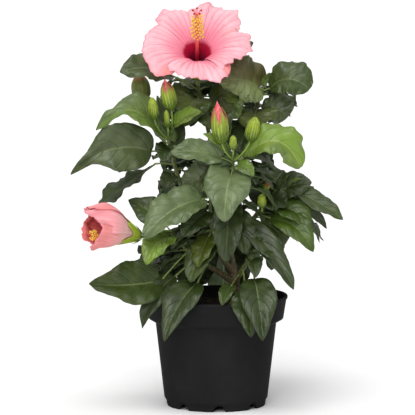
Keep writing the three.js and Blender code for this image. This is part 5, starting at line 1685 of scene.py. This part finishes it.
def petal_skin(bloom, row, number):
    """A petal over the bloom's profile: at share s of the reach, R(v) from nine places, it stands at
    radius r(s R) and height h(s R), turned by the spread times v. Laps lift its two sides, ruffles and
    a frill wave the margin by sines of the turn that grow with s, and pleats follow the veins; they
    all stand square to the profile: r - w h'/n and h + w r'/n, with n the length of (r', h')."""
    degrees, reach, laps, salmon_and_shade, curl_out, crinkle = row
    s = np.linspace(0, 1, PETAL_ROWS) ** 0.9
    v = np.linspace(-1, 1, PETAL_COLUMNS)
    ss, vv = np.meshgrid(s, v, indexing="ij")
    draw = seeded(PETAL_SEED + number)
    waves = [draw() * FULL_TURN for _ in range(4)]
    notches = crinkle * rippled(vv, PETAL_NOTCHES, waves)

    full = bloom["full_reach"]
    edge = smooth_through(PETAL_PLACES, np.array(reach) / full, vv) + notches
    share = ss * (1 + (edge - 1) * ease(0.3, 1.0, ss))
    shares, radii, heights = np.array(bloom["profile"], float).T
    over = np.maximum(share - shares[-1], 0)
    share = np.minimum(share, shares[-1])
    radius = smooth_through(shares, radii, share) + over * full
    radius = radius + curl_out * ease(0.55, 1.0, ss) ** 1.8 * (1 - 0.4 * vv**2)
    height = smooth_through(shares, heights, share) - 0.1 * over * full
    turn = degrees + bloom["spread"] * vv * (0.86 + 0.14 * ease(0.2, 0.7, ss))

    lap = np.where(vv < 0, laps[0] * -vv, laps[1] * vv) * ss
    ruffle = bloom["ruffle"] * ss**2 * np.cos(np.radians(PETAL_RUFFLES * turn))
    frill = bloom["frill"] * ss**7 * rippled(vv, PETAL_FRILLS, waves[2:])
    pleat = bloom["pleat"] * ease(0.3, 0.7, ss) * (0.5 - np.abs(np.sin(PETAL_VEINS * np.pi * vv / 2)))
    billow, often = PETAL_BILLOW
    pleat = pleat + billow * ease(0.4, 0.9, ss) * np.sin(often * np.pi * vv + waves[1]) * (1 - vv**4)
    curl = -PETAL_EDGE_CURL * ease(0.86, 1.0, ss) * (1 if bloom["ruffle"] else 0.4)
    lift = lap + ruffle + crinkle * frill + pleat + curl
    run, climb = np.gradient(radius, axis=0), np.gradient(height, axis=0)
    step = np.hypot(run, climb)
    radius, height = radius - lift * climb / step, height + lift * run / step

    frame_of = axis_frame(bloom["throat"], bloom["axis"])
    middle = place(frame_of, radius, turn, height)
    normal = unit(np.cross(np.gradient(middle, axis=1), np.gradient(middle, axis=0)))
    thick = PETAL_THICKNESS * (1 - PETAL_THINS * ss)[..., None] * normal
    # The salmon tint, partly painted shade under lapped neighbours, grows toward the petal's sides
    sides = np.where(vv < 0, salmon_and_shade[0], salmon_and_shade[1])
    tint = np.maximum(0.8 * sides * ease(0.45, 0.85, np.abs(vv)) * ease(0.5, 0.75, ss), salmon_and_shade[2])
    return thick_skin(middle, thick, ss, vv, (1, 0), tint)


def column_skins(bloom):
    """The column: a slender tapering tube, filaments that leave it all round and end in anthers,
    and five styles that part at the top and end in round stigma pads."""
    frame_of = axis_frame(bloom["column_from"], bloom["column_axis"])
    knots = np.array(bloom["column"], float)
    heights = np.linspace(knots[0, 1], knots[-1, 1], COLUMN_RINGS)
    radii = smooth_through(knots[:, 1], knots[:, 0], heights)
    skins = [turned(frame_of, radii, heights, COLUMN_SIDES)]

    low, high, count, reach = bloom["anthers"]
    draw = seeded(ANTHER_SEED)
    centres, turns = [], []
    for k in range(count):
        height = low + (high - low) * (k + 0.5) / count
        turn = GOLDEN_ANGLE * k
        out = reach * (0.75 + 0.5 * draw()) * (1 - 0.25 * k / count)
        start = place(frame_of, 1.0, turn, height)
        end = place(frame_of, 1.0 + out, turn, height + 0.45 * out + draw())
        bend = place(frame_of, 1.0 + 0.6 * out, turn, height + 0.1 * out)
        line = Bend(start, bend, end)
        skins.append(tube(line, np.linspace(0, 1, 4), np.full(4, FILAMENT_RADIUS), 5, FILAMENT))
        centres.append(end)
        turns.append(FULL_TURN * draw())
    sizes = np.tile(ANTHER_SIZE, (count, 1))
    skins.append(bits(np.array(centres), sizes, np.array(turns), POLLEN_SEED, np.full(count, POLLEN), 0.2))

    height, spread, pad = bloom["stigma"]
    top = knots[-1, 1]
    pads = []
    for k in range(STYLES):
        turn = 360 / STYLES * k + 18
        start, end = place(frame_of, 0.3, turn, top - 1.5), place(frame_of, spread, turn, height)
        line = Bend(start, place(frame_of, 0.35 * spread, turn, height - 0.5), end)
        skins.append(tube(line, np.linspace(0, 1, 7), np.full(7, STYLE_RADIUS), 6, STYLE))
        pads.append(end)
    sizes, turns = np.full((STYLES, 3), pad), np.arange(float(STYLES))
    skins.append(bits(np.array(pads), sizes, turns, PAD_SEED, np.full(STYLES, STIGMA), 0.15))
    return skins


def calyx_skins(bloom):
    """The calyx: a cup whose margin runs out into five pointed lobes, bracts round its foot, and the
    stalk that carries it, a cubic line from the shoot's tip to the cup."""
    frame_of = axis_frame(bloom["throat"], bloom["axis"])
    (_, base_radius, base_height), (_, wide_radius, wide_height) = bloom["profile"][:2]
    floor = base_height - CALYX_UNDER
    slope = (wide_radius - base_radius) / (wide_height - base_height)
    angle = np.degrees(turn_of(CALYX_SIDES))[None, :]
    lobe_turn, lobe_reach = bloom["lobes"]
    lobes = (0.5 + 0.5 * np.cos(np.radians(SEPALS * (angle - lobe_turn)))) ** 1.4
    s = np.linspace(0, 1, CALYX_RINGS)[:, None]
    reach = CALYX_DEPTH * (0.85 + lobe_reach * lobes)
    height = floor - CALYX_FOOT + s * (CALYX_FOOT + reach)
    inside = np.maximum(height - floor, 0)
    widening = ease(0, 1, (height - floor + CALYX_FOOT) / CALYX_FOOT)
    radius = CALYX_FOOT_RADIUS + (base_radius + CALYX_PROUD - CALYX_FOOT_RADIUS) * widening
    radius = radius + slope * inside
    seams = np.abs(np.sin(np.radians(SEPALS / 2 * (angle - lobe_turn))))
    radius = radius + CALYX_LOBE_FLARE * s**4 * lobes - CALYX_SEAM * seams * s
    outer = place(frame_of, radius, angle, height)
    inner = place(frame_of, radius - CALYX_WALL, angle, height + 0.1)
    skins = [shell_skin(outer, inner, s[:, 0], SEPAL)]
    foot = axis_frame(place(frame_of, 0.0, 0.0, floor - CALYX_BRACTS_UNDER), frame_of[1])
    skins += bract_skins(foot, *CALYX_BRACTS)

    shoot = next(s for s in SHOOTS if s["name"] == bloom["shoot"])
    end, leave = shoot["curve"].at(1.0)[0], shoot["curve"].along(1.0)[0]
    seat = place(frame_of, 0.0, 0.0, floor - CALYX_SEAT)
    span = float(np.linalg.norm(end - seat))
    guide = FLOWER_STALK_GUIDE
    line = Cubic(end, end + leave * guide * span, seat - frame_of[1] * guide * span, seat)
    t = np.linspace(0, 1, FLOWER_STALK_RINGS)
    radii = shoot["radii"][1] * (0.9 + 0.25 * bulge(t, 0.68, 0.03) + 0.3 * ease(0.88, 1.0, t))
    return skins + [tube(line, t, radii, FLOWER_STALK_SIDES, STALK)]


# The camera, the floor and the light


def make_camera():
    """The camera that took the photograph: its place, its aim and its field of view."""
    data = bpy.data.cameras.new("camera")
    data.sensor_width = SENSOR_MM
    data.lens = FOCAL_PIXELS / PHOTO_PIXELS * SENSOR_MM
    data.clip_start, data.clip_end = 0.1, 100.0
    camera = in_scene("camera", data)
    camera.location = CAMERA_AT
    aim = Vector(CAMERA_AIM) - Vector(CAMERA_AT)
    camera.rotation_euler = aim.to_track_quat("-Z", "Y").to_euler()
    bpy.context.scene.camera = camera


def make_floor():
    """A plain pale floor, far larger than the picture."""
    corners = [(FLOOR_HALF * x, FLOOR_HALF * y, 0) for x, y in ((-1, -1), (1, -1), (1, 1), (-1, 1))]
    mesh = bpy.data.meshes.new("floor")
    mesh.from_pydata(corners, [], [(0, 1, 2, 3)])
    finish = Finish("pale_floor", Roughness=0.9, Specular_IOR_Level=0.1, Base_Color=FLOOR_SHADE)
    mesh.materials.append(finish.material)
    floor = in_scene("floor", mesh)


def make_sun(name, strength, angle, turn, height):
    """A broad soft light that comes from a turn round Z (0 is the front) and a height, in degrees."""
    data = bpy.data.lights.new(name, "SUN")
    data.energy = strength
    data.angle = math.radians(angle)
    sun = in_scene(name, data)
    sun.rotation_euler = (math.radians(90 - height), 0, math.radians(turn))


def make_light():
    """A faint even glow and the suns."""
    world = bpy.data.worlds.new("studio")
    bpy.context.scene.world = world
    world.use_nodes = True
    glow = world.node_tree.nodes["Background"].inputs
    glow["Color"].default_value = colour(1, 1, 1)
    glow["Strength"].default_value = GLOW
    for name, sun in SUNS.items():
        make_sun(name, *sun)
    bpy.context.scene.view_settings.view_transform = "Standard"


# Making the shrub

TRUNK = Route(TRUNK_PATH)

make_camera()
make_floor()
make_light()
grow()

# A tone's name, its blade, its veins, how dull it is and, on some, its second colour, which paints light
# over one half: on bronze a paler green as the lit half, and on light and young leaves a more saturated
# green beside a greyer half of painted sheen
LEAF_SHADES = {
    "d": ("deep_leaf", colour(0.032, 0.052, 0.007), colour(0.10, 0.15, 0.04), 0.30),
    "m": ("mid_leaf", colour(0.050, 0.078, 0.011), colour(0.14, 0.20, 0.06), 0.30),
    # Sage: a grey-green that is partly the leaf's own and partly painted sheen
    "s": ("sage_leaf", colour(0.084, 0.113, 0.036), colour(0.18, 0.23, 0.10), 0.30),
    "o": ("olive_leaf", colour(0.080, 0.105, 0.008), colour(0.19, 0.23, 0.05), 0.30),
    "l": ("light_leaf", colour(0.130, 0.190, 0.050), colour(0.28, 0.35, 0.10), 0.28,
          colour(0.120, 0.200, 0.022)),
    "y": ("young_leaf", colour(0.180, 0.262, 0.042), colour(0.38, 0.47, 0.11), 0.28,
          colour(0.165, 0.275, 0.020)),
    "g": ("grass_leaf", colour(0.080, 0.135, 0.012), colour(0.16, 0.23, 0.05), 0.28),
    # Cool: a grey-green whose greyness is partly painted sheen
    "c": ("cool_leaf", colour(0.145, 0.195, 0.080), colour(0.27, 0.33, 0.14), 0.28),
    # Bronze: a dark brown blade, partly its own bronze and partly painted shade
    "b": ("bronze_leaf", colour(0.100, 0.082, 0.016), colour(0.22, 0.23, 0.07), 0.32,
          colour(0.22, 0.29, 0.10)),
}
leaf_finishes = [leaf_top(*LEAF_SHADES[tone]) for tone in TONES]
leaf_finishes.append(leaf_under("leaf_underside", colour(0.085, 0.125, 0.05), colour(0.17, 0.23, 0.1)))
leaf_finishes.append(green_stem("leaf_rib", colour(0.13, 0.19, 0.06), colour(0.2, 0.27, 0.1)))
stem_finishes = [green_stem("stem_skin", colour(0.08, 0.11, 0.03), colour(0.14, 0.16, 0.05)),
                 green_stem("stalk_skin", colour(0.15, 0.22, 0.05), colour(0.25, 0.32, 0.09))]
# Sepals at their foot, higher up and at a turned tip
BUD_SHADES = (colour(0.065, 0.12, 0.004), colour(0.245, 0.335, 0.020), colour(0.42, 0.16, 0.08))
CALYX_SHADES = (colour(0.22, 0.32, 0.015), colour(0.36, 0.47, 0.03), colour(0.4, 0.46, 0.05))
bud_finishes = [sepal_skin("bud_sepals", *BUD_SHADES), bud_petals(),
                green_stem("bract_skin", colour(0.060, 0.120, 0.008), colour(0.17, 0.27, 0.03)),
                green_stem("bud_stalk", colour(0.17, 0.27, 0.04), colour(0.27, 0.38, 0.08))]
calyx_finishes = [sepal_skin("calyx_sepals", *CALYX_SHADES), *bud_finishes[1:]]
column_finishes = [
    column_skin(),
    grain_finish("filaments", colour(0.9, 0.42, 0.16), colour(0.97, 0.6, 0.25), 0.5),
    grain_finish("pollen", colour(0.95, 0.5, 0.05), colour(1.0, 0.78, 0.16), 0.75),
    grain_finish("styles", colour(0.75, 0.1, 0.08), colour(0.88, 0.22, 0.14), 0.5),
    grain_finish("stigma_pads", colour(0.35, 0.005, 0.02), colour(0.6, 0.02, 0.05), 0.7),
]
petal_finishes = [petal_silk("petal_silk", colour(0.42, 0.0, 0.028), 1.0),
                  petal_silk("petal_back", colour(0.80, 0.22, 0.24), 0.0)]
green_wood_finish = green_wood()

make_piece("nursery_pot", [pot_wall()], [moulded_plastic()], "pot", "pot")
peats = [peat("peat", colour(0.008, 0.005, 0.003), colour(0.035, 0.02, 0.011)),
         peat("peat_fibre", colour(0.03, 0.016, 0.008), colour(0.09, 0.05, 0.025))]
make_piece("soil_plug", [soil_plug()], peats, "soil", "soil")
make_piece("soil_crumbs", [soil_crumbs()], peats, "soil")
make_piece("trunk_bark", [trunk_skin()], [bark()], "bark", "trunk")

grown_before = 0
for shoot in SHOOTS:
    name = shoot["name"]
    mass = f"foliage_{name}"
    if shoot["from"] is not None:
        make_piece(f"limb_{name}", [bough_skin(shoot)], [green_wood_finish], "green_wood", f"bough_{name}")
    ends_in_bloom = name in (OPEN_BLOOM["shoot"], SIDE_BLOOM["shoot"])
    leaves = shoot["grown"] + ([] if ends_in_bloom else tip_leaves(shoot))
    stems = [stem_skin(shoot)] + [stalk_skin(leaf) for leaf in leaves]
    make_piece(f"stems_{name}", stems, stem_finishes, "leaf", mass)
    blades = blade_skins(shoot, leaves, grown_before)
    make_piece(f"leaves_{name}", blades, leaf_finishes, "leaf", mass)
    grown_before += len(leaves)
    if "buds" in shoot:
        buds = [bud_skins(shoot, *bud) for bud in zip(shoot["buds"], shoot["open"], shoot["ripe"])]
        make_piece(f"buds_{name}", sum(buds, []), bud_finishes, "calyx", mass)

for bloom in (OPEN_BLOOM, SIDE_BLOOM):
    name = bloom["name"]
    petals = [petal_skin(bloom, row, i) for i, row in enumerate(bloom["petals"])]
    make_piece(f"{name}_silk", petals, petal_finishes, "petal", f"{name}_petals")
    make_piece(f"{name}_stamens", column_skins(bloom), column_finishes, "column", f"{name}_column")
    make_piece(f"{name}_cup", calyx_skins(bloom), calyx_finishes, "calyx", f"{name}_calyx")
